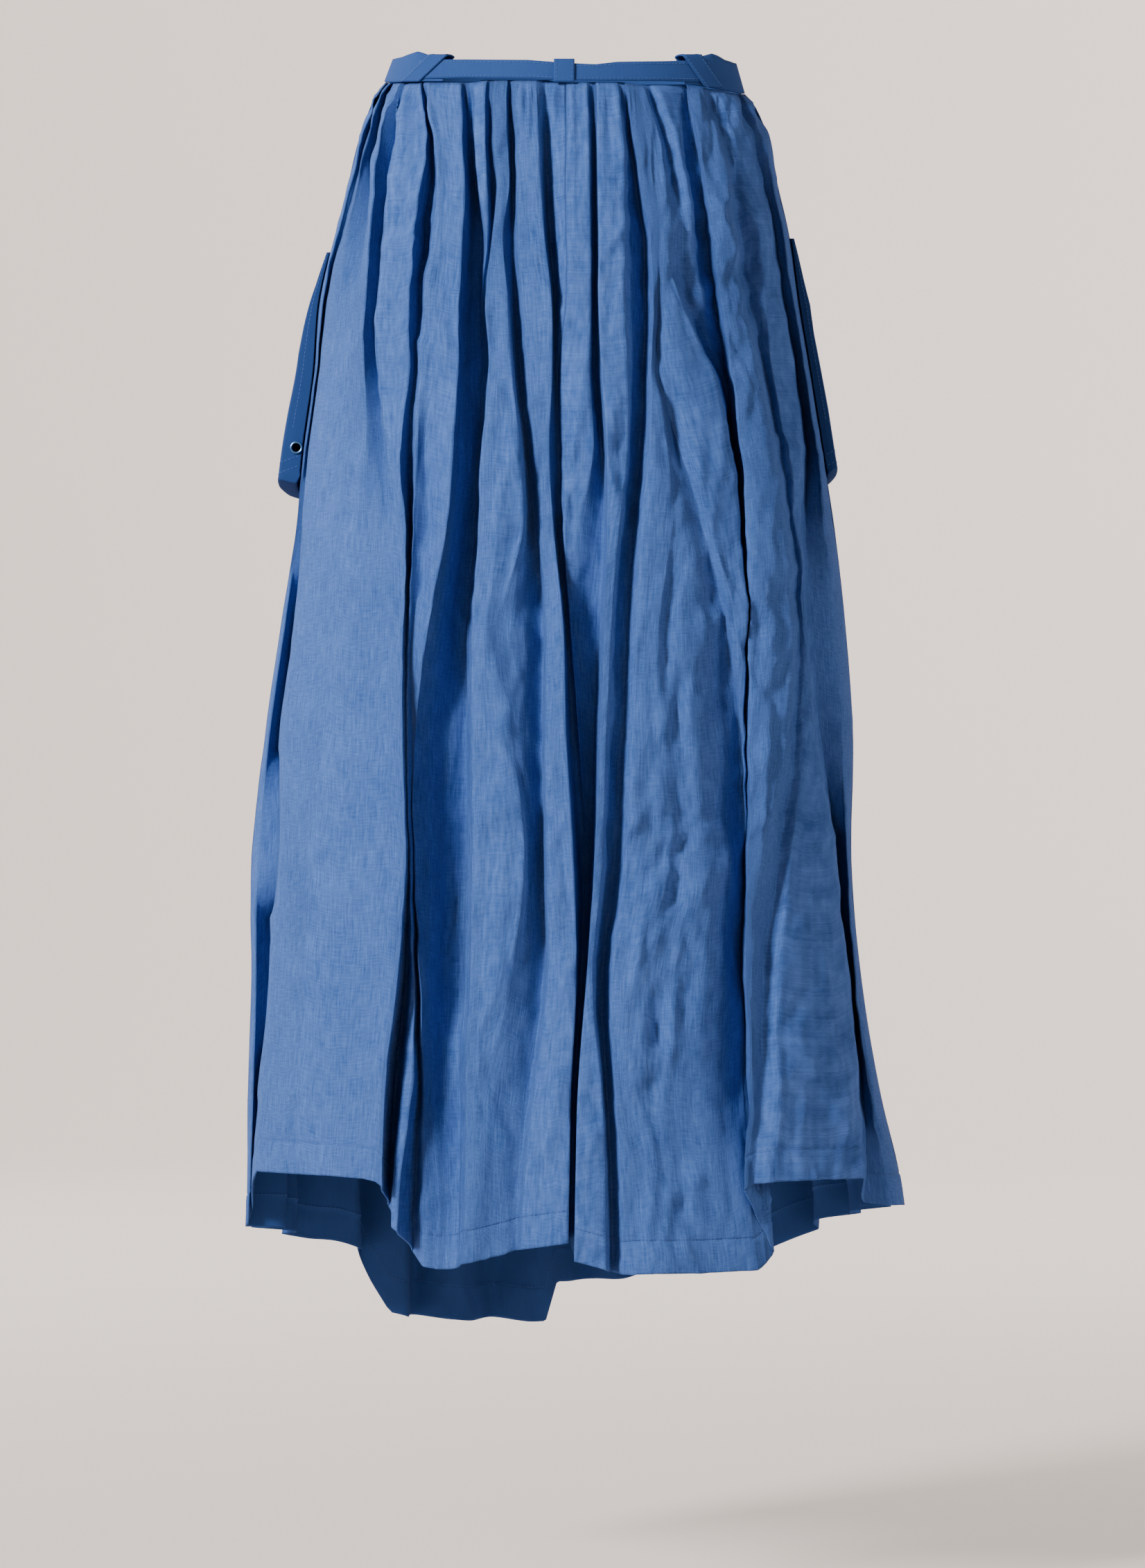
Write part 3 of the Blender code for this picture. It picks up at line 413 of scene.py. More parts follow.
def outline(drop):
    """Middle, half width, back half depth and front half depth of the skirt at a height."""
    left = line_across(0, drop)
    right = line_across(len(FOLDS) - 1, drop)
    back = along(DEPTH_LEVELS, BACK_DEPTH, drop)
    front = along(DEPTH_LEVELS, FRONT_DEPTH, drop)
    return (left + right) / 2, (right - left) / 2, back, front


def place_on_outline(angle, drop, deep):
    """A point at an angle round the skirt: pi at the left side, pi / 2 at the centre back,
    0 at the right side and from pi to 2 pi on the front. deep is measured inwards."""
    middle, half, back, front = outline(drop)
    depth = np.where(np.sin(angle) < 0, front, back)
    across = np.cos(angle) / half
    onward = np.sin(angle) / depth
    size = np.hypot(across, onward)
    x = middle + half * np.cos(angle) - deep * across / size
    y = -depth * np.sin(angle) + deep * onward / size
    return np.stack(np.broadcast_arrays(x, y, -drop), axis=-1)


def angle_at(x, drop, deep):
    """The angle round the back at which a line of some depth is seen at x."""
    middle, half, back, _ = outline(drop)
    cosine = np.clip((x - middle) / half, -1, 1)
    for _ in range(4):
        across = cosine / half
        onward = np.sqrt(1 - cosine ** 2) / back
        shift = deep * across / np.hypot(across, onward)
        cosine = np.clip((x + shift - middle) / half, -1, 1)
    return np.arccos(cosine)


def true_place(points, flat):
    """Moves points noted as seen from behind to where they really are."""
    x = VIEW_X + (points[..., 0] - VIEW_X) * (1 + points[..., 1] / VIEW_DISTANCE)
    z = VIEW_Z + (points[..., 2] - VIEW_Z) * (1 + flat[..., 1] / VIEW_DISTANCE)
    return np.stack([x, points[..., 1], z], axis=-1)


def soft_noise(u, v, cell_u, cell_v, seed):
    """Smooth random relief between -1 and 1, with cells of a given size."""
    size_u, size_v = 97, 89
    table = np.random.default_rng(seed).uniform(-1, 1, (size_u, size_v))
    a = u / cell_u
    b = v / cell_v
    i = np.floor(a).astype(int)
    j = np.floor(b).astype(int)
    s = a - i
    t = b - j
    s = s * s * (3 - 2 * s)
    t = t * t * (3 - 2 * t)
    i0, i1, j0, j1 = i % size_u, (i + 1) % size_u, j % size_v, (j + 1) % size_v
    return ((table[i0, j0] * (1 - s) + table[i1, j0] * s) * (1 - t)
            + (table[i0, j1] * (1 - s) + table[i1, j1] * s) * t)


def cloth_mesh(name, grid, flip=False):
    """A sheet of cloth through a grid of points in millimetres, with its threads as UVs in
    metres along its width and length."""
    rows, columns, _ = grid.shape
    mesh = bpy.data.meshes.new(name)
    index = np.arange(rows * columns).reshape(rows, columns)
    quads = np.stack([index[:-1, :-1], index[1:, :-1], index[1:, 1:], index[:-1, 1:]], axis=-1)
    quads = quads.reshape(-1, 4)
    if flip:
        quads = quads[:, ::-1]
    mesh.from_pydata((grid.reshape(-1, 3) * MM).tolist(), [], quads.tolist())
    width = np.linalg.norm(np.diff(grid, axis=1), axis=-1)
    run = np.concatenate([np.zeros((rows, 1)), np.cumsum(width, axis=1)], axis=1)
    run = np.repeat(run[rows // 2][None, :], rows, axis=0)
    length = np.linalg.norm(np.diff(grid, axis=0), axis=-1)
    down = np.concatenate([np.zeros((1, columns)), np.cumsum(length, axis=0)], axis=0)
    uv = np.stack([run, down], axis=-1).reshape(-1, 2) * MM
    layer = mesh.uv_layers.new(name="threads")
    loops = np.zeros(len(mesh.loops), dtype=np.int32)
    mesh.loops.foreach_get("vertex_index", loops)
    layer.data.foreach_set("uv", uv[loops].astype(np.float32).ravel())
    mesh.shade_smooth()
    mesh.update()
    return mesh


def add_piece(name, mesh, material, thickness):
    mesh.materials.append(material)
    thing = bpy.data.objects.new(name, mesh)
    bpy.context.scene.collection.objects.link(thing)
    if thickness:
        solid = thing.modifiers.new("cloth", "SOLIDIFY")
        solid.thickness = thickness * MM
        solid.offset = -1.0
        solid.use_even_offset = False
        bake(thing)
    return thing


def cloth_piece(name, grid, material, thickness=CLOTH):
    """A cloth piece through a grid, and the grid, along which its stitches run."""
    return add_piece(name + "_cloth", cloth_mesh(name, grid), material, thickness), grid


def bake(thing):
    """Turns a piece's modifiers into its mesh."""
    graph = bpy.context.evaluated_depsgraph_get()
    made = bpy.data.meshes.new_from_object(thing.evaluated_get(graph))
    old = thing.data
    thing.modifiers.clear()
    thing.data = made
    made.name = old.name
    bpy.data.meshes.remove(old)


def row_shares(count):
    """Shares down the skirt for the rows of a panel, with close ones where the hem is sewn."""
    last = 1 - HEM_ROWS[0] / BACK_LONG
    above_hem = np.linspace(0, 1, count)[:-1] ** 1.12 * last
    return np.concatenate([above_hem, 1 - HEM_ROWS / BACK_LONG])


def hem_relief(drop):
    """The hem's second layer, and the groove that its stitches pull into the cloth."""
    above = drop[-1:] - drop
    layer = 1 / (1 + np.exp(np.minimum((above - HEM_DEEP + 0.6) / 0.4, 60)))
    return HEM_PROUD * layer - HEM_GROOVE * np.exp(-((above - HEM_DEEP) / 0.9) ** 2)


def line_angle(line, drop):
    """The angle round the back at which a fold line is seen."""
    if line == 0:
        return np.full_like(drop, math.pi)
    if line == len(FOLDS) - 1:
        return np.zeros_like(drop)
    return angle_at(line_across(line, drop), drop, line_deep(line, drop))


def smooth_between(places, values, t):
    """A smooth curve through four values that turns back only at its high and low points,
    read between the second and the third."""
    gaps = [np.minimum(places[k + 1] - places[k], -1e-4) for k in range(3)]
    rises = [(values[k + 1] - values[k]) / gaps[k] for k in range(3)]
    slopes = []
    for before, after in ((rises[0], rises[1]), (rises[1], rises[2])):
        both = before * after
        total = np.where(np.abs(before + after) < 1e-9, 1.0, before + after)
        slopes.append(np.where(both > 0, 2 * both / total, 0.0))
    return ((1 + 2 * t) * (1 - t) ** 2 * values[1] + t * (1 - t) ** 2 * gaps[1] * slopes[0]
            + t * t * (3 - 2 * t) * values[2] + t * t * (t - 1) * gaps[1] * slopes[1])


def fold_columns(first, last):
    """Shares between neighbouring fold lines, as (line, share) for each column."""
    columns = []
    for i in range(first, last):
        a, b = FOLDS[i], FOLDS[i + 1]
        dx = (np.array(b[1], float) - np.array(a[1], float)) * PX
        dd = np.array(b[2], float) - np.array(a[2], float)
        steps = int(round(np.percentile(np.hypot(dx, dd), 85) / COLUMN_SPACING))
        steps = max(FEWEST_COLUMNS, min(MOST_COLUMNS, steps))
        columns += [(i, step / steps) for step in range(steps)]
    columns.append((last - 1, 1.0))
    return columns


def back_surface(first, last):
    """Angle, drop and depth of the back's cloth between two fold lines."""
    count = len(FOLDS)
    waist_x = np.array([line_across(i, LEVELS[0]) for i in range(count)])
    waist_deep = np.array([line_deep(i, LEVELS[0]) for i in range(count)])
    waist_angles = angle_at(waist_x, np.full(count, LEVELS[0]), waist_deep)
    waist_angles[0], waist_angles[-1] = math.pi, 0.0
    tops = seam_drop(waist_place(waist_angles))
    hems = np.array([fold[3] for fold in FOLDS], float)
    rows = row_shares(BACK_ROWS)
    angles, drops, deeps = [], [], []
    for i, t in fold_columns(first, last):
        a, b = FOLDS[i], FOLDS[i + 1]
        top = tops[i] + (tops[i + 1] - tops[i]) * t
        hem = hems[i] + (hems[i + 1] - hems[i]) * t
        drop = top + (hem - top) * rows
        lines = [min(max(k, 0), count - 1) for k in (i - 1, i, i + 1, i + 2)]
        line_deeps = [line_deep(k, drop) for k in lines]
        line_angles = [line_angle(k, drop) for k in lines]
        da, db = line_deeps[1], line_deeps[2]
        angle_a, angle_b = line_angles[1], line_angles[2]
        start = a[4][1] * t * (1 - t) ** 2
        finish = b[4][0] * t * t * (1 - t)
        deep = smooth_between(line_angles, line_deeps, t) + (db - da) * (start - finish)
        steep = np.clip(np.abs(db - da) / 16.0, 0, 1)
        _, half, _, _ = outline(drop)
        curl = CURL * (a[5][1] * t * (1 - t) ** 2 - b[5][0] * t * t * (1 - t)) * steep
        angle = angle_a + (angle_b - angle_a) * t + curl / half
        pucker = PUCKER_SHARE * np.exp(-(drop - top) / PUCKER_REACH)
        angles.append(angle)
        deeps.append(deep + (PUCKER_DEEP - deep) * pucker)
        drops.append(drop)
    return np.stack(angles, 1), np.stack(drops, 1), np.stack(deeps, 1)


def seam_drop(x):
    """Drop of the waist seam at a place across the back."""
    return -np.interp(x, SEAM_TOP[:, 0], SEAM_TOP[:, 1])


def waist_place(angle):
    middle, half, _, _ = outline(np.array(LEVELS[0]))
    return middle + half * np.cos(angle)


def waist_angle(x, deep):
    return float(angle_at(np.array(x, float), np.array(LEVELS[0]), np.array(deep, float)))


def crease_relief(x, drop):
    """Height of the placed creases at places across and down the back."""
    px = PX_X0 + x / PX
    py = PX_Y0 + drop / PX
    relief = np.zeros_like(x)
    for x0, y0, x1, y1, width, height in CREASES:
        dx, dy = x1 - x0, y1 - y0
        length = math.hypot(dx, dy)
        t = ((px - x0) * dx + (py - y0) * dy) / length ** 2
        side = ((px - x0) * dy - (py - y0) * dx) / length * PX
        taper = np.clip(np.sin(math.pi * np.clip((t + 0.15) / 1.3, 0, 1)), 0, 1)
        ridge = np.exp(-(side / width) ** 2)
        shoulder = np.exp(-((side - 2.0 * width) / (1.5 * width)) ** 2)
        relief += CREASE_STRENGTH * height * taper * (ridge + CREASE_SHOULDER * shoulder)
    return relief


def gather_relief(x, below):
    """Narrow gathers that run down from the waist seam and fade, each to its own length."""
    share = np.exp(-below / (50.0 + 28.0 * soft_noise(x, 0 * x, 11.0, 50.0, 51)))
    fine = sharp_noise(x, below, 5.6, 110.0, 0.03, 53)
    fine = fine + 0.5 * sharp_noise(x, below, 3.6, 70.0, -0.04, 55)
    return GATHER_HIGH * fine * share


def small_creases(x, drop):
    """Short straight creases all over, each sharp on one side and soft on the other."""
    pick = np.random.default_rng(77)
    relief = np.zeros_like(x)
    for number in range(SMALL_CREASES):
        is_long = number % EVERY_LONG == 0
        middle_x = pick.uniform(*CREASES_ACROSS)
        middle_drop = CREASES_FROM + CREASES_DOWN * pick.uniform(0, 1) ** 0.9
        reach = pick.uniform(24, 58) if is_long else pick.uniform(9, 34)
        lean = pick.normal(0.03, 0.3) if is_long else pick.normal(0.05, 0.55)
        width = pick.uniform(1.6, 2.9)
        height = pick.uniform(1.1, 2.7) * pick.choice([1, 1, -0.7])
        bend = pick.uniform(-0.004, 0.004)
        if middle_x < SMOOTH_LEFT and middle_drop > SMOOTH_FROM:
            height *= SMOOTH_SHARE
        near = np.abs(drop - middle_drop) < 2.2 * reach
        dx = x[near] - middle_x
        dy = drop[near] - middle_drop
        along_it = dy * math.cos(lean) + dx * math.sin(lean)
        side = dx * math.cos(lean) - dy * math.sin(lean) + bend * along_it ** 2
        taper = np.exp(-(along_it / reach) ** 2)
        own_width = np.where(side < 0, CREASE_SOFT_SIDE * width, width)
        relief[near] += height * taper * np.exp(-(side / own_width) ** 2)
    return relief


def sharp_noise(x, drop, cell_across, cell_down, slant, seed):
    """Random relief whose crests are sharp, along lines that lean by slant."""
    noise = soft_noise(x + slant * drop, drop - 0.4 * slant * x, cell_across, cell_down, seed)
    return 1 - 2.2 * np.abs(noise)


def linen_relief(x, drop):
    """The uneven surface of crumpled linen: sharp crests and troughs that lean both ways,
    stronger in some places than in others, over soft ripples."""
    ripples = 0.5 * soft_noise(x, drop, 9.0, 60.0, 3)
    amount = 0.75 + 0.45 * soft_noise(x, drop, 70.0, 95.0, 43)
    smooth_left = SMOOTH_SHARE + (1 - SMOOTH_SHARE) / (1 + np.exp(-(x - SMOOTH_LEFT) / 9.0))
    low_left = 1 - 0.3 * np.clip((drop - 400.0) / 200.0, 0, 1) * (x < SMOOTH_LEFT)
    crumples = sum(strength * (sharp_noise(x, drop, *one) - sharp_noise(x, drop, *other))
                   for strength, one, other in CRUMPLES)
    return ripples + crumples * amount * smooth_left * low_left


def calm_near_sides(angle):
    """Share of the creases' height, lower near the side seams."""
    return np.clip(np.sin(angle) / 0.55, 0.12, 1)


def make_back(name, first, last, material):
    angle, drop, deep = back_surface(first, last)
    across = place_on_outline(angle, drop, deep)[..., 0]
    calm = calm_near_sides(angle)
    relief = crease_relief(across, drop) + linen_relief(across, drop) * calm
    relief += small_creases(across, drop) * calm + gather_relief(across, drop - drop[:1])
    fade = np.clip((drop - drop[:1]) / 12.0, 0, 1)
    deep = deep - relief * fade - hem_relief(drop)
    points = place_on_outline(angle, drop, deep)
    flat = place_on_outline(angle, drop, np.zeros_like(deep))
    grid = true_place(points, flat)
    grid[..., 0] += -SEAM_GAP / 2 if last == CENTRE_BACK else SEAM_GAP / 2
    return cloth_piece(name, grid, material)


def front_seam_drop(angle):
    left = seam_drop(line_across(0, LEVELS[0]))
    right = seam_drop(line_across(len(FOLDS) - 1, LEVELS[0]))
    return left + (right - left) * (1 + np.cos(angle)) / 2 + FRONT_SEAM_DIP * np.sin(angle) ** 2


def front_folds(turn, drop, top):
    """Share of the full depth at each place of the front: narrow gathers at the waist that
    join into wide folds, each of its own width, depth and lean."""
    ends = np.clip(np.minimum(turn, 1 - turn) / 0.05, 0, 1)
    across = np.broadcast_to(1000.0 * turn, drop.shape)

    def folds(count, sway, cell_across, cell_down, seed):
        place = count * turn + sway * ends * soft_noise(across, drop, cell_across, cell_down, seed)
        return (1 - np.cos(2 * math.pi * place)) / 2

    wide_wave = folds(FRONT_WIDE_FOLDS, 0.62, 120.0, 330.0, 61) ** 0.85
    middle_wave = folds(FRONT_FOLDS, 0.45, 70.0, 210.0, 63)
    narrow_wave = folds(FRONT_GATHERS, 0.4, 40.0, 90.0, 67)
    below = drop - top
    top_share = np.exp(-below / (42.0 + 20.0 * soft_noise(across, 0 * drop, 30.0, 60.0, 69)))
    middle_share = np.exp(-below / (260.0 + 120.0 * soft_noise(across, 0 * drop, 55.0, 60.0, 71)))
    wave = wide_wave + (middle_wave - wide_wave) * middle_share
    wave = wave + (narrow_wave - wave) * 0.7 * top_share
    own_depth = 0.72 + 0.3 * soft_noise(across, drop, 75.0, 300.0, 65)
    return wave * (1 + (own_depth - 1) * ends)


def make_front(material):
    turn = np.linspace(0, 1, FRONT_FOLDS * FRONT_COLUMNS + 1)
    share = row_shares(FRONT_ROWS)
    angle = np.repeat((math.pi + math.pi * turn)[None, :], len(share), axis=0)
    top = front_seam_drop(angle[0])
    left_hem, right_hem = line_across(0, HEM_LEVEL), line_across(len(FOLDS) - 1, HEM_LEVEL)
    hem_place = left_hem + (right_hem - left_hem) * (1 + np.cos(angle[0])) / 2
    hem = np.interp(hem_place, FRONT_HEM[:, 0], FRONT_HEM[:, 1])
    wave = soft_noise(1000.0 * turn, 0 * turn, 26.0, 50.0, 73)
    hem -= FRONT_HEM_WAVE * np.sin(math.pi * turn) * wave
    drop = top + (hem - top) * share[:, None]
    deep = along(DEPTH_LEVELS, FRONT_FOLD_DEEP, drop) * front_folds(turn, drop, top)
    pucker = PUCKER_SHARE * np.exp(-(drop - top) / PUCKER_REACH)
    deep = deep + (PUCKER_DEEP - deep) * pucker
    flat = place_on_outline(angle, drop, np.zeros_like(deep))
    # The cloth behind the pockets has no creases, so that it doesn't reach them
    by_pocket = np.clip((0.27 - np.minimum(turn, 1 - turn)) / 0.04, 0, 1)
    by_pocket = by_pocket * np.clip((330 - drop) / 20, 0, 1)
    across = -flat[..., 0]
    relief = FRONT_LINEN_SHARE * linen_relief(across, drop)
    relief += FRONT_CREASE_SHARE * small_creases(across, drop)
    relief *= (1 - by_pocket) * calm_near_sides(-angle)
    deep = deep - relief * np.clip((drop - top) / 15.0, 0, 1) - FRONT_PROUD - hem_relief(drop)
    grid = true_place(place_on_outline(angle, drop, deep), flat)
    grid[..., 1] += SEAM_GAP
    return cloth_piece("front", grid, material)


def strip_grid(angle, top, bottom, deep_top, deep_bottom, rows):
    """A smooth strip round the waist, between a top and a bottom edge."""
    share = np.linspace(0, 1, rows)[:, None]
    height = top + (bottom - top) * share
    deep = deep_top + (deep_bottom - deep_top) * share
    angle = np.repeat(angle[None, :], rows, axis=0)
    level = np.full_like(height, LEVELS[0])
    flat = place_on_outline(angle, level, np.zeros_like(level))
    grid = place_on_outline(angle, level, deep)
    grid[..., 2] = height
    return true_place(grid, flat)


def read_grid(grid, rows, columns):
    """Points and outward normals of a cloth's grid at fractions of its rows and columns."""
    down, across = np.gradient(grid, axis=0), np.gradient(grid, axis=1)
    normal = np.cross(across, down)
    normal /= np.maximum(np.linalg.norm(normal, axis=-1, keepdims=True), 1e-9)
    outward = (normal[..., :2] * grid[..., :2]).sum()
    if outward < 0:
        normal = -normal
    i = np.clip(rows.astype(int), 0, grid.shape[0] - 2)
    j = np.clip(columns.astype(int), 0, grid.shape[1] - 2)
    s = (rows - i)[:, None]
    t = (columns - j)[:, None]
    found = []
    for field in (grid, normal):
        top = field[i, j] * (1 - t) + field[i, j + 1] * t
        low = field[i + 1, j] * (1 - t) + field[i + 1, j + 1] * t
        found.append(top * (1 - s) + low * s)
    return found


def ring_faces(first, sides):
    """Faces between the ring of points that starts at first and the ring after it."""
    faces = []
    for step in range(sides):
        a = first + step
        b = first + (step + 1) % sides
        faces.append((a, b, b + sides, a + sides))
    return faces


def add_stitches(name, grid, lines, material):
    """Rows of thread along lines on a cloth's grid, each line from one (row, column) as
    shares of the grid to another."""
    verts, faces = [], []
    rows_last, columns_last = grid.shape[0] - 1, grid.shape[1] - 1
    for (row_a, column_a), (row_b, column_b) in lines:
        share = np.linspace(0, 1, LINE_POINTS)
        rows = (row_a + (row_b - row_a) * share) * rows_last
        columns = (column_a + (column_b - column_a) * share) * columns_last
        points, normals = read_grid(grid, rows, columns)
        run = np.concatenate([[0], np.cumsum(np.linalg.norm(np.diff(points, axis=0), axis=1))])
        starts = np.arange(0.8, run[-1] - STITCH_LONG, STITCH_PITCH)
        ends = [np.stack([np.interp(starts + far, run, points[:, k]) for k in range(3)], 1)
                for far in (0, STITCH_LONG)]
        middles = starts + STITCH_LONG / 2
        up = np.stack([np.interp(middles, run, normals[:, k]) for k in range(3)], 1)
        along_it = ends[1] - ends[0]
        long = np.maximum(np.linalg.norm(along_it, axis=1, keepdims=True), 1e-6)
        up = up - (up * along_it).sum(1, keepdims=True) * along_it / long ** 2
        up /= np.maximum(np.linalg.norm(up, axis=1, keepdims=True), 1e-9)
        aside = np.cross(along_it / long, up) * STITCH_WIDE / 2
        for k in range(len(starts)):
            if long[k, 0] < 0.6 * STITCH_LONG:
                continue
            first = len(verts)
            for share_on, full in STITCH_RINGS:
                centre = ends[0][k] + along_it[k] * share_on
                for turn in range(STITCH_SIDES):
                    a = 2 * math.pi * turn / STITCH_SIDES
                    round_it = aside[k] * math.cos(a) + up[k] * STITCH_HIGH * math.sin(a)
                    verts.append(centre + full * round_it + up[k] * STITCH_SUNK)
            for ring in range(len(STITCH_RINGS) - 1):
                faces += ring_faces(first + ring * STITCH_SIDES, STITCH_SIDES)
            faces.append(tuple(range(first + STITCH_SIDES - 1, first - 1, -1)))
            faces.append(tuple(range(len(verts) - STITCH_SIDES, len(verts))))
    mesh = bpy.data.meshes.new(name)
    mesh.from_pydata((np.array(verts) * MM).tolist(), [], faces)
    mesh.shade_smooth()
    return add_piece(name, mesh, material, 0)


def make_binding(material):
    angle = np.linspace(math.radians(176), math.radians(4), 160)
    edge = -seam_drop(waist_place(angle))
    deep = np.full_like(angle, BINDING_DEEP)
    grid = strip_grid(angle, edge + BINDING_RISE, edge - BINDING_DROP, deep, deep, 8)
    return cloth_piece("back_binding", grid, material, BINDING_CLOTH)


def make_band(material):
    start = waist_angle(BAND_END_LEFT, BAND_DEEP)
    finish = waist_angle(BAND_END_RIGHT, BAND_DEEP)
    angle = np.linspace(start, 2 * math.pi + finish, 360)
    place = waist_place(angle)
    behind = (angle < math.pi) | (angle > 2 * math.pi)
    seam = np.where(behind, seam_drop(place), front_seam_drop(angle))
    top = np.interp(np.degrees(angle), BAND_TOP[:, 0], BAND_TOP[:, 1])
    low = np.interp(np.degrees(angle), BAND_BOTTOM[:, 0], BAND_BOTTOM[:, 1])
    grid = strip_grid(angle, top, BAND_SEAM_GAP - seam, low + BAND_LEAN, low, 12)
    return cloth_piece("waistband", grid, material, BAND_CLOTH)


def belt_edges(x):
    return np.interp(x, BELT[:, 0], BELT[:, 1]), np.interp(x, BELT[:, 0], BELT[:, 2])


def make_belt(material):
    start = waist_angle(BELT[0, 0], BELT_DEEP)
    finish = waist_angle(BELT[-1, 0], BELT_DEEP)
    angle = np.linspace(start, finish, 150)
    top, bottom = belt_edges(waist_place(angle))
    low = np.full_like(angle, BELT_DEEP)
    grid = strip_grid(angle, top, bottom, low, low, 9)
    return cloth_piece("belt", grid, material, BELT_CLOTH)


def make_loop(name, foot, head, width, material):
    tops, _ = belt_edges((foot + head) / 2 + np.array([-width, 0, width]))
    seam = -seam_drop(foot) + BAND_SEAM_GAP
    front = BELT_DEEP - SEAM_GAP - LOOP_CLOTH
    behind = BELT_DEEP + BELT_CLOTH + SEAM_GAP + LOOP_CLOTH
    over = tops.max() + SEAM_GAP
    if name != "loop_centre":
        behind = BAND_DEEP + BAND_LEAN + BAND_CLOTH + SEAM_GAP + LOOP_CLOTH
        over = SIDE_LOOP_TOP
    route = [(front, seam + (over - seam) * step / LOOP_STEPS) for step in range(LOOP_STEPS)]
    middle = (front + behind) / 2
    reach = (behind - front) / 2
    for step in range(9):
        turn = math.pi * step / 8
        route.append((middle - reach * math.cos(turn), over + 1.3 * LOOP_CLOTH * math.sin(turn)))
    route += [(behind, over - 2.5), (behind, over - 5)]
    grid = []
    for deep, height in route:
        share = np.clip((height - seam) / (over - seam), 0, 1)
        x = foot + (head - foot) * share + np.linspace(-width / 2, width / 2, 10)
        angle = np.array([waist_angle(each, front) for each in x])
        level = np.full(10, LEVELS[0])
        row = place_on_outline(angle, level, np.full(10, deep))
        flat = place_on_outline(angle, level, np.zeros(10))
        row[:, 2] = height
        grid.append(true_place(row, flat))
    grid = np.array(grid)[::-1]
    return cloth_piece(name, grid, material, LOOP_CLOTH)


def pocket_row(share):
    """The share of all of a pocket's rows at a share of the way down it."""
    place = np.interp(share, POCKET_DOWN, np.arange(len(POCKET_DOWN)))
    return float(place / (len(POCKET_DOWN) + POCKET_UNDER - 1))


def open_eyelet(mesh):
    """Cuts the round hole that the eyelet lines into the pocket's rear edge."""
    shape = bmesh.new()
    shape.from_mesh(mesh)
    x0, z0 = EYELET_ACROSS * MM, -EYELET_DROP * MM
    cut = EYELET_CUT * MM

    def far(point):
        return math.hypot(point.x - x0, point.z - z0)

    inside = [face for face in shape.faces
              if far(face.calc_center_median()) < cut and face.calc_center_median().y < EYELET_REAR]
    rim = {vert for face in inside for vert in face.verts}
    bmesh.ops.delete(shape, geom=inside, context="FACES")
    for vert in rim:
        if vert.is_valid and vert.is_boundary and far(vert.co) > 0:
            grow = cut / far(vert.co)
            vert.co.x = x0 + (vert.co.x - x0) * grow
            vert.co.z = z0 + (vert.co.z - z0) * grow
    shape.to_mesh(mesh)
    shape.free()


def make_pocket(name, material):
    side = -1 if name == "pocket_left" else 1
    stand = np.array(POCKET_STAND[name], float)
    hem_side, hem_corner, hem_front = POCKET_HEM[name]
    key_forward = np.array([-0.6, -0.7, -0.2, 1.5, 20, 38, 56, POCKET_REACH - 4,
                            POCKET_REACH - 0.5, POCKET_REACH])
    key_share = np.array([0.0, 0.5, 0.93, 1.0, 1.0, 0.9, 0.75, 0.6, 0.5, 0.0])
    key_steps = (8, 6, 3, 8, 8, 8, 8, 3, 6)
    pick = [k + s / n for k, n in enumerate(key_steps) for s in range(n)] + [9.0]
    forward = np.interp(pick, range(10), key_forward)
    share = np.interp(pick, range(10), key_share)
    hems = np.interp(forward, (1.5, 40.0), (hem_corner, hem_front))
    rear = np.array(pick) < 3
    hems[rear] = hem_side + (hem_corner - hem_side) * share[rear]
    turned_under = np.linspace(0, 0.9, POCKET_UNDER + 1)[1:]
    rows = [(t, 0.0) for t in POCKET_DOWN] + [(1.0, under) for under in turned_under]
    grid = []
    for t, under in rows:
        drop = stand[0, 0] + (hems - stand[0, 0]) * t
        middle, half, _, front = outline(drop)
        out = np.interp(drop, stand[:, 0], stand[:, 1])
        least = POCKET_REST * np.minimum(share * 2, 1)
        off = np.where(share > 0, np.maximum(out * share, least), 0)
        full = np.maximum(out, POCKET_REST)
        off[rear] = (POCKET_EDGE + (full - POCKET_EDGE) * share)[rear]
        off = POCKET_EDGE + (off - POCKET_EDGE).clip(0) * (1 - under)
        run = np.sqrt(1 - np.clip(forward / front, 0, 1) ** 2)
        x = middle + side * (half * run + off)
        z = -drop - POCKET_BELLY * math.sin(under * math.pi / 2)
        grid.append(np.stack([x, forward + SEAM_GAP, z], axis=-1))
    grid = true_place(np.array(grid), np.array(grid))
    mesh = cloth_mesh(name, grid, flip=side < 0)
    if name == "pocket_left":
        open_eyelet(mesh)
    return add_piece(name + "_cloth", mesh, material, CLOTH), grid


# Materials
def new_material(name):
    material = bpy.data.materials.new(name)
    material.use_nodes = True
    tree = material.node_tree
    tree.nodes.clear()
    out = tree.nodes.new("ShaderNodeOutputMaterial")
    shader = tree.nodes.new("ShaderNodeBsdfPrincipled")
    tree.links.new(shader.outputs[0], out.inputs[0])
    return material, tree, shader


def node(tree, kind, **values):
    made = tree.nodes.new(kind)
    for key, value in values.items():
        if key in made.inputs:
            made.inputs[key].default_value = value
        else:
            setattr(made, key.lower(), value)
    return made


def math_node(tree, operation, a, b=None):
    made = tree.nodes.new("ShaderNodeMath")
    made.operation = operation
    for slot, value in zip(made.inputs, (a, b)):
        if value is None:
            continue
        if isinstance(value, (int, float)):
            slot.default_value = value
        else:
            tree.links.new(value, slot)
    return made.outputs[0]


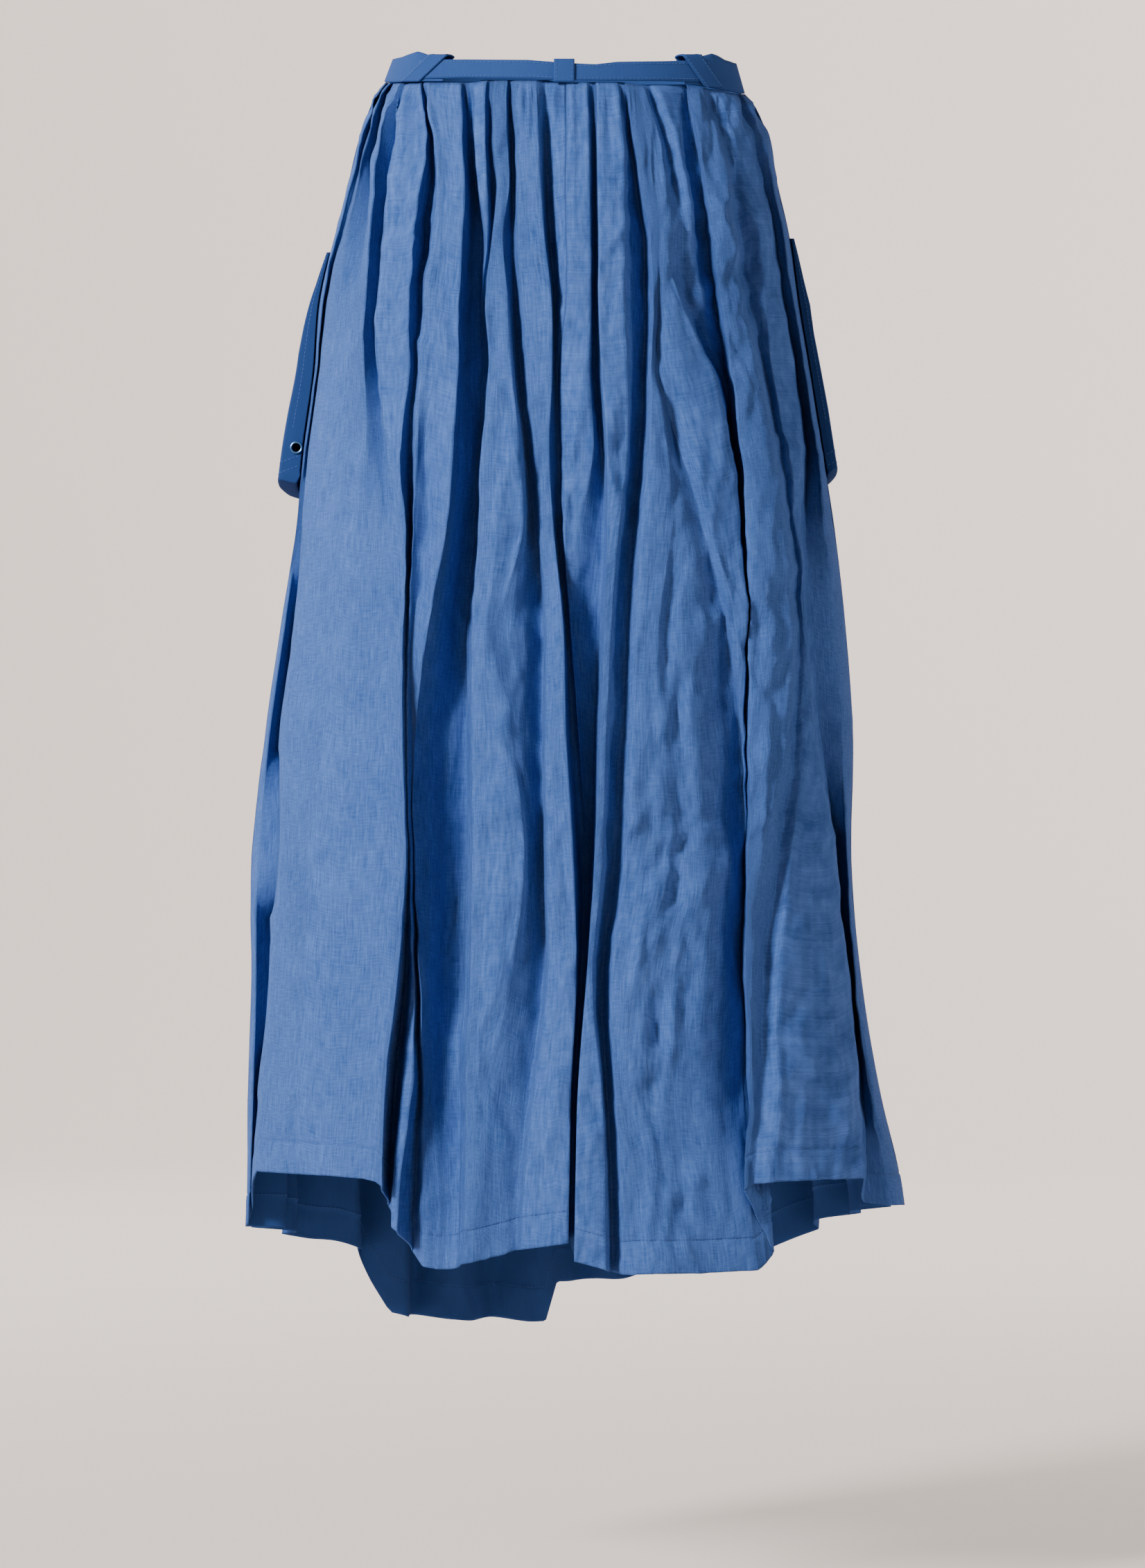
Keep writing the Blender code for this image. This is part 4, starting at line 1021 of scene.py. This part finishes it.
def add_ramp(tree, shader, tone, dark, light):
    """Colours a shader from dark to light by a tone."""
    ramp = node(tree, "ShaderNodeValToRGB")
    ramp.color_ramp.elements[0].color = (*dark, 1)
    ramp.color_ramp.elements[1].color = (*light, 1)
    tree.links.new(tone, ramp.inputs[0])
    tree.links.new(ramp.outputs[0], shader.inputs["Base Color"])
    return ramp.color_ramp


def cloth_material(name, light, dark, thread, slub, bump):
    """Woven cloth: threads across and along from the cloth's own UVs, with slubs."""
    material, tree, shader = new_material(name)
    links = tree.links
    uv = node(tree, "ShaderNodeUVMap", uv_map="threads")
    split = node(tree, "ShaderNodeSeparateXYZ")
    links.new(uv.outputs[0], split.inputs[0])
    u, v = split.outputs[0], split.outputs[1]
    pulse = 2 * math.pi / (thread * MM)
    warp = math_node(tree, "SINE", math_node(tree, "MULTIPLY", u, pulse))
    weft = math_node(tree, "SINE", math_node(tree, "MULTIPLY", v, pulse))
    weave = math_node(tree, "MULTIPLY", warp, weft)
    threads = []
    for cell in ((1.1, 16), (9, 1.1)):
        stretch = node(tree, "ShaderNodeMapping")
        stretch.inputs["Scale"].default_value = (1 / (cell[0] * MM), 1 / (cell[1] * MM), 1)
        links.new(uv.outputs[0], stretch.inputs[0])
        noise = node(tree, "ShaderNodeTexNoise", Scale=1.0, Detail=3.0, Roughness=0.6)
        links.new(stretch.outputs[0], noise.inputs[0])
        threads.append(noise.outputs[0])
    patch = node(tree, "ShaderNodeTexNoise", Scale=22.0, Detail=2.0)
    links.new(uv.outputs[0], patch.inputs[0])
    streaks = math_node(tree, "ADD", math_node(tree, "MULTIPLY", threads[0], 0.6),
                        math_node(tree, "MULTIPLY", threads[1], 0.4))
    tone = math_node(tree, "ADD", math_node(tree, "MULTIPLY", streaks, slub),
                     math_node(tree, "MULTIPLY", patch.outputs[0], 0.25))
    tone = math_node(tree, "ADD", tone, 0.5 - 0.5 * slub - 0.125)
    ramp = add_ramp(tree, shader, tone, dark, light)
    ramp.elements[0].position = 0.25
    ramp.elements[1].position = 0.75
    height = math_node(tree, "ADD", math_node(tree, "MULTIPLY", weave, 0.12), streaks)
    relief = node(tree, "ShaderNodeBump", Strength=bump, Distance=0.0009)
    links.new(height, relief.inputs["Height"])
    links.new(relief.outputs[0], shader.inputs["Normal"])
    shader.inputs["Roughness"].default_value = 0.92
    shader.inputs["Specular IOR Level"].default_value = 0.12
    return material


def speckled_material(name, scale, dark, light, roughness, **sockets):
    """One colour that varies a little in fine speckles."""
    material, tree, shader = new_material(name)
    speckle = node(tree, "ShaderNodeTexNoise", Scale=scale, Detail=2.0)
    add_ramp(tree, shader, speckle.outputs[0], dark, light)
    shader.inputs["Roughness"].default_value = roughness
    for socket, value in sockets.items():
        shader.inputs[socket].default_value = value
    return material


def make_stage():
    """A pale seamless floor and a round backdrop, wide enough for a camera on every side."""
    material, tree, shader = new_material("backdrop")
    shader.inputs["Base Color"].default_value = STAGE_PALE
    shader.inputs["Roughness"].default_value = 1.0
    shader.inputs["Specular IOR Level"].default_value = 0.0
    shader.inputs["Emission Color"].default_value = STAGE_GLOW
    seen = tree.nodes.new("ShaderNodeLightPath")
    place = tree.nodes.new("ShaderNodeNewGeometry")
    parts = tree.nodes.new("ShaderNodeSeparateXYZ")
    tree.links.new(place.outputs["Position"], parts.inputs[0])
    rise = tree.nodes.new("ShaderNodeMapRange")
    rise.inputs["From Min"].default_value = STAGE_FLOOR
    rise.inputs["From Max"].default_value = STAGE_FLOOR + GLOW_RISE
    rise.inputs["To Min"].default_value = FLOOR_GLOW
    tree.links.new(parts.outputs["Z"], rise.inputs["Value"])
    glow = math_node(tree, "MULTIPLY", seen.outputs["Is Camera Ray"], rise.outputs[0])
    tree.links.new(glow, shader.inputs["Emission Strength"])
    profile = [(0.0, STAGE_FLOOR), (STAGE_WALL - STAGE_CURVE, STAGE_FLOOR)]
    for step in range(1, CURVE_STEPS + 1):
        turn = math.pi / 2 * step / CURVE_STEPS
        profile.append((STAGE_WALL - STAGE_CURVE + STAGE_CURVE * math.sin(turn),
                        STAGE_FLOOR + STAGE_CURVE - STAGE_CURVE * math.cos(turn)))
    profile.append((STAGE_WALL, STAGE_TOP))
    verts = [(0.0, 0.0, STAGE_FLOOR)]
    for reach, height in profile[1:]:
        for step in range(STAGE_SIDES):
            turn = 2 * math.pi * step / STAGE_SIDES
            verts.append((reach * math.cos(turn), reach * math.sin(turn), height))
    faces = [(0, 1 + step, 1 + (step + 1) % STAGE_SIDES) for step in range(STAGE_SIDES)]
    for ring in range(len(profile) - 2):
        for a, b, c, d in ring_faces(1 + ring * STAGE_SIDES, STAGE_SIDES):
            faces.append((a, d, c, b))
    mesh = bpy.data.meshes.new("backdrop")
    mesh.from_pydata(verts, [], faces)
    mesh.shade_smooth()
    mesh.materials.append(material)
    thing = bpy.data.objects.new("backdrop", mesh)
    bpy.context.scene.collection.objects.link(thing)


def aim(thing, target):
    direction = np.array(target) - np.array(thing.location)
    flat = math.hypot(direction[0], direction[1])
    tilt = math.atan2(flat, -direction[2])
    thing.rotation_euler = (tilt, 0, math.atan2(-direction[0], direction[1]))


def add_light(name, place, target, size, power, colour):
    lamp = bpy.data.lights.new(name, "AREA")
    lamp.shape = "RECTANGLE"
    lamp.size, lamp.size_y = size
    lamp.energy = power
    lamp.color = colour
    thing = bpy.data.objects.new(name, lamp)
    thing.location = place
    aim(thing, target)
    bpy.context.scene.collection.objects.link(thing)
    return thing


def make_camera():
    lens = bpy.data.cameras.new("camera")
    lens.sensor_width = 36.0
    lens.lens = 36.0 * VIEW_DISTANCE / FRAME_HIGH
    camera = bpy.data.objects.new("camera", lens)
    camera.location = (VIEW_X * MM, -VIEW_DISTANCE * MM, VIEW_Z * MM)
    camera.rotation_euler = (math.pi / 2, 0, 0)
    bpy.context.scene.collection.objects.link(camera)
    bpy.context.scene.camera = camera


def make_lights():
    world = bpy.data.worlds.new("studio")
    world.use_nodes = True
    background = world.node_tree.nodes["Background"]
    background.inputs[0].default_value = WORLD_COLOUR
    background.inputs[1].default_value = WORLD_POWER
    bpy.context.scene.world = world
    for light in LIGHTS:
        lamp = add_light(*light)
        if light[0] == "key":
            lamp.data.spread = math.radians(KEY_SPREAD)


def sewn_row(rows):
    """The share of all of a panel's rows at which its hem is sewn."""
    return (rows - 1 + HEM_SEWN_ROW) / (rows + len(HEM_ROWS) - 2)


def across_rows(*rows):
    """Lines of stitches right across a piece, at shares of its rows."""
    return [((row, 0.0), (row, 1.0)) for row in rows]


# A pocket's lines of stitches: share down and across at the start, then at the end
POCKET_SEAMS = ((0.925, 0.02, 0.925, 0.98), (0.972, 0.02, 0.972, 0.98), (0.02, 0.16, 0.79, 0.16),
                (0.02, 0.36, 0.92, 0.36), (0.03, 0.36, 0.03, 0.88))
POCKET_LINES = [((pocket_row(a), b), (pocket_row(c), d)) for a, b, c, d in POCKET_SEAMS]
LOOP_LINES = [((0.1, side), (1.0, side)) for side in (0.12, 0.88)]
# Each cloth piece: its flat size (width, length) in metres, how it is held, what carries it,
# and its rows of stitches as shares of its rows and columns.
SHEETS = {
    "back_left": ((0.44, 0.88), "gathered", ["back_binding"], across_rows(sewn_row(BACK_ROWS))),
    "back_right": ((0.44, 0.88), "gathered", ["back_binding"], across_rows(sewn_row(BACK_ROWS))),
    "front": ((0.70, 0.91), "gathered", ["waistband"], across_rows(sewn_row(FRONT_ROWS))),
    "back_binding": ((0.32, 0.01), "folded", ["back_left", "back_right"], []),
    "waistband": ((0.72, 0.018), "folded", ["front"], across_rows(0.12, 0.9)),
    "belt": ((0.22, 0.0145), "folded", ["loop_left", "loop_centre", "loop_right"],
             across_rows(0.13, 0.86)),
    "loop_left": ((0.0135, 0.046), "folded", ["waistband"], LOOP_LINES),
    "loop_centre": ((0.015, 0.026), "folded", ["belt"], LOOP_LINES),
    "loop_right": ((0.0135, 0.05), "folded", ["waistband"], LOOP_LINES),
    "pocket_left": ((0.105, 0.185), "folded", ["front"], POCKET_LINES),
    "pocket_right": ((0.105, 0.185), "folded", ["front"], POCKET_LINES),
}


def main():
    make_camera()
    make_lights()
    make_stage()
    linen = cloth_material("linen_weave", *LINEN)
    cotton = cloth_material("cotton_twill", *COTTON)
    metal = speckled_material("eyelet_metal", *EYELET_METAL, Metallic=0.85)
    # The pockets get the darker copy of the cotton, which is painted shade
    shaded = cloth_material("pocket_twill_painted_shade", *POCKET_COTTON_PAINTED_SHADE)
    thread = speckled_material("sewing_thread", *THREAD, **{"Specular IOR Level": 0.3})
    made = {
        "back_left": make_back("back_left", 0, CENTRE_BACK, linen),
        "back_right": make_back("back_right", CENTRE_BACK, len(FOLDS) - 1, linen),
        "front": make_front(cotton),
        "back_binding": make_binding(cotton),
        "waistband": make_band(cotton),
        "belt": make_belt(cotton),
    }
    for name, foot, head, width in LOOPS:
        made[name] = make_loop(name, foot, head, width, cotton)
    for name in POCKET_STAND:
        made[name] = make_pocket(name, shaded)
    for name, (piece, grid) in made.items():
        flat, held, rests_on, lines = SHEETS[name]
        sewn = []
        if lines:
            sewn.append(add_stitches(name + "_stitches", grid, lines, thread))
        for thing in [piece] + sewn:
            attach(thing, "root")
        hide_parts(name)
    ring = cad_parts["eyelet"]
    ring.data.materials.clear()
    ring.data.materials.append(metal)


main()
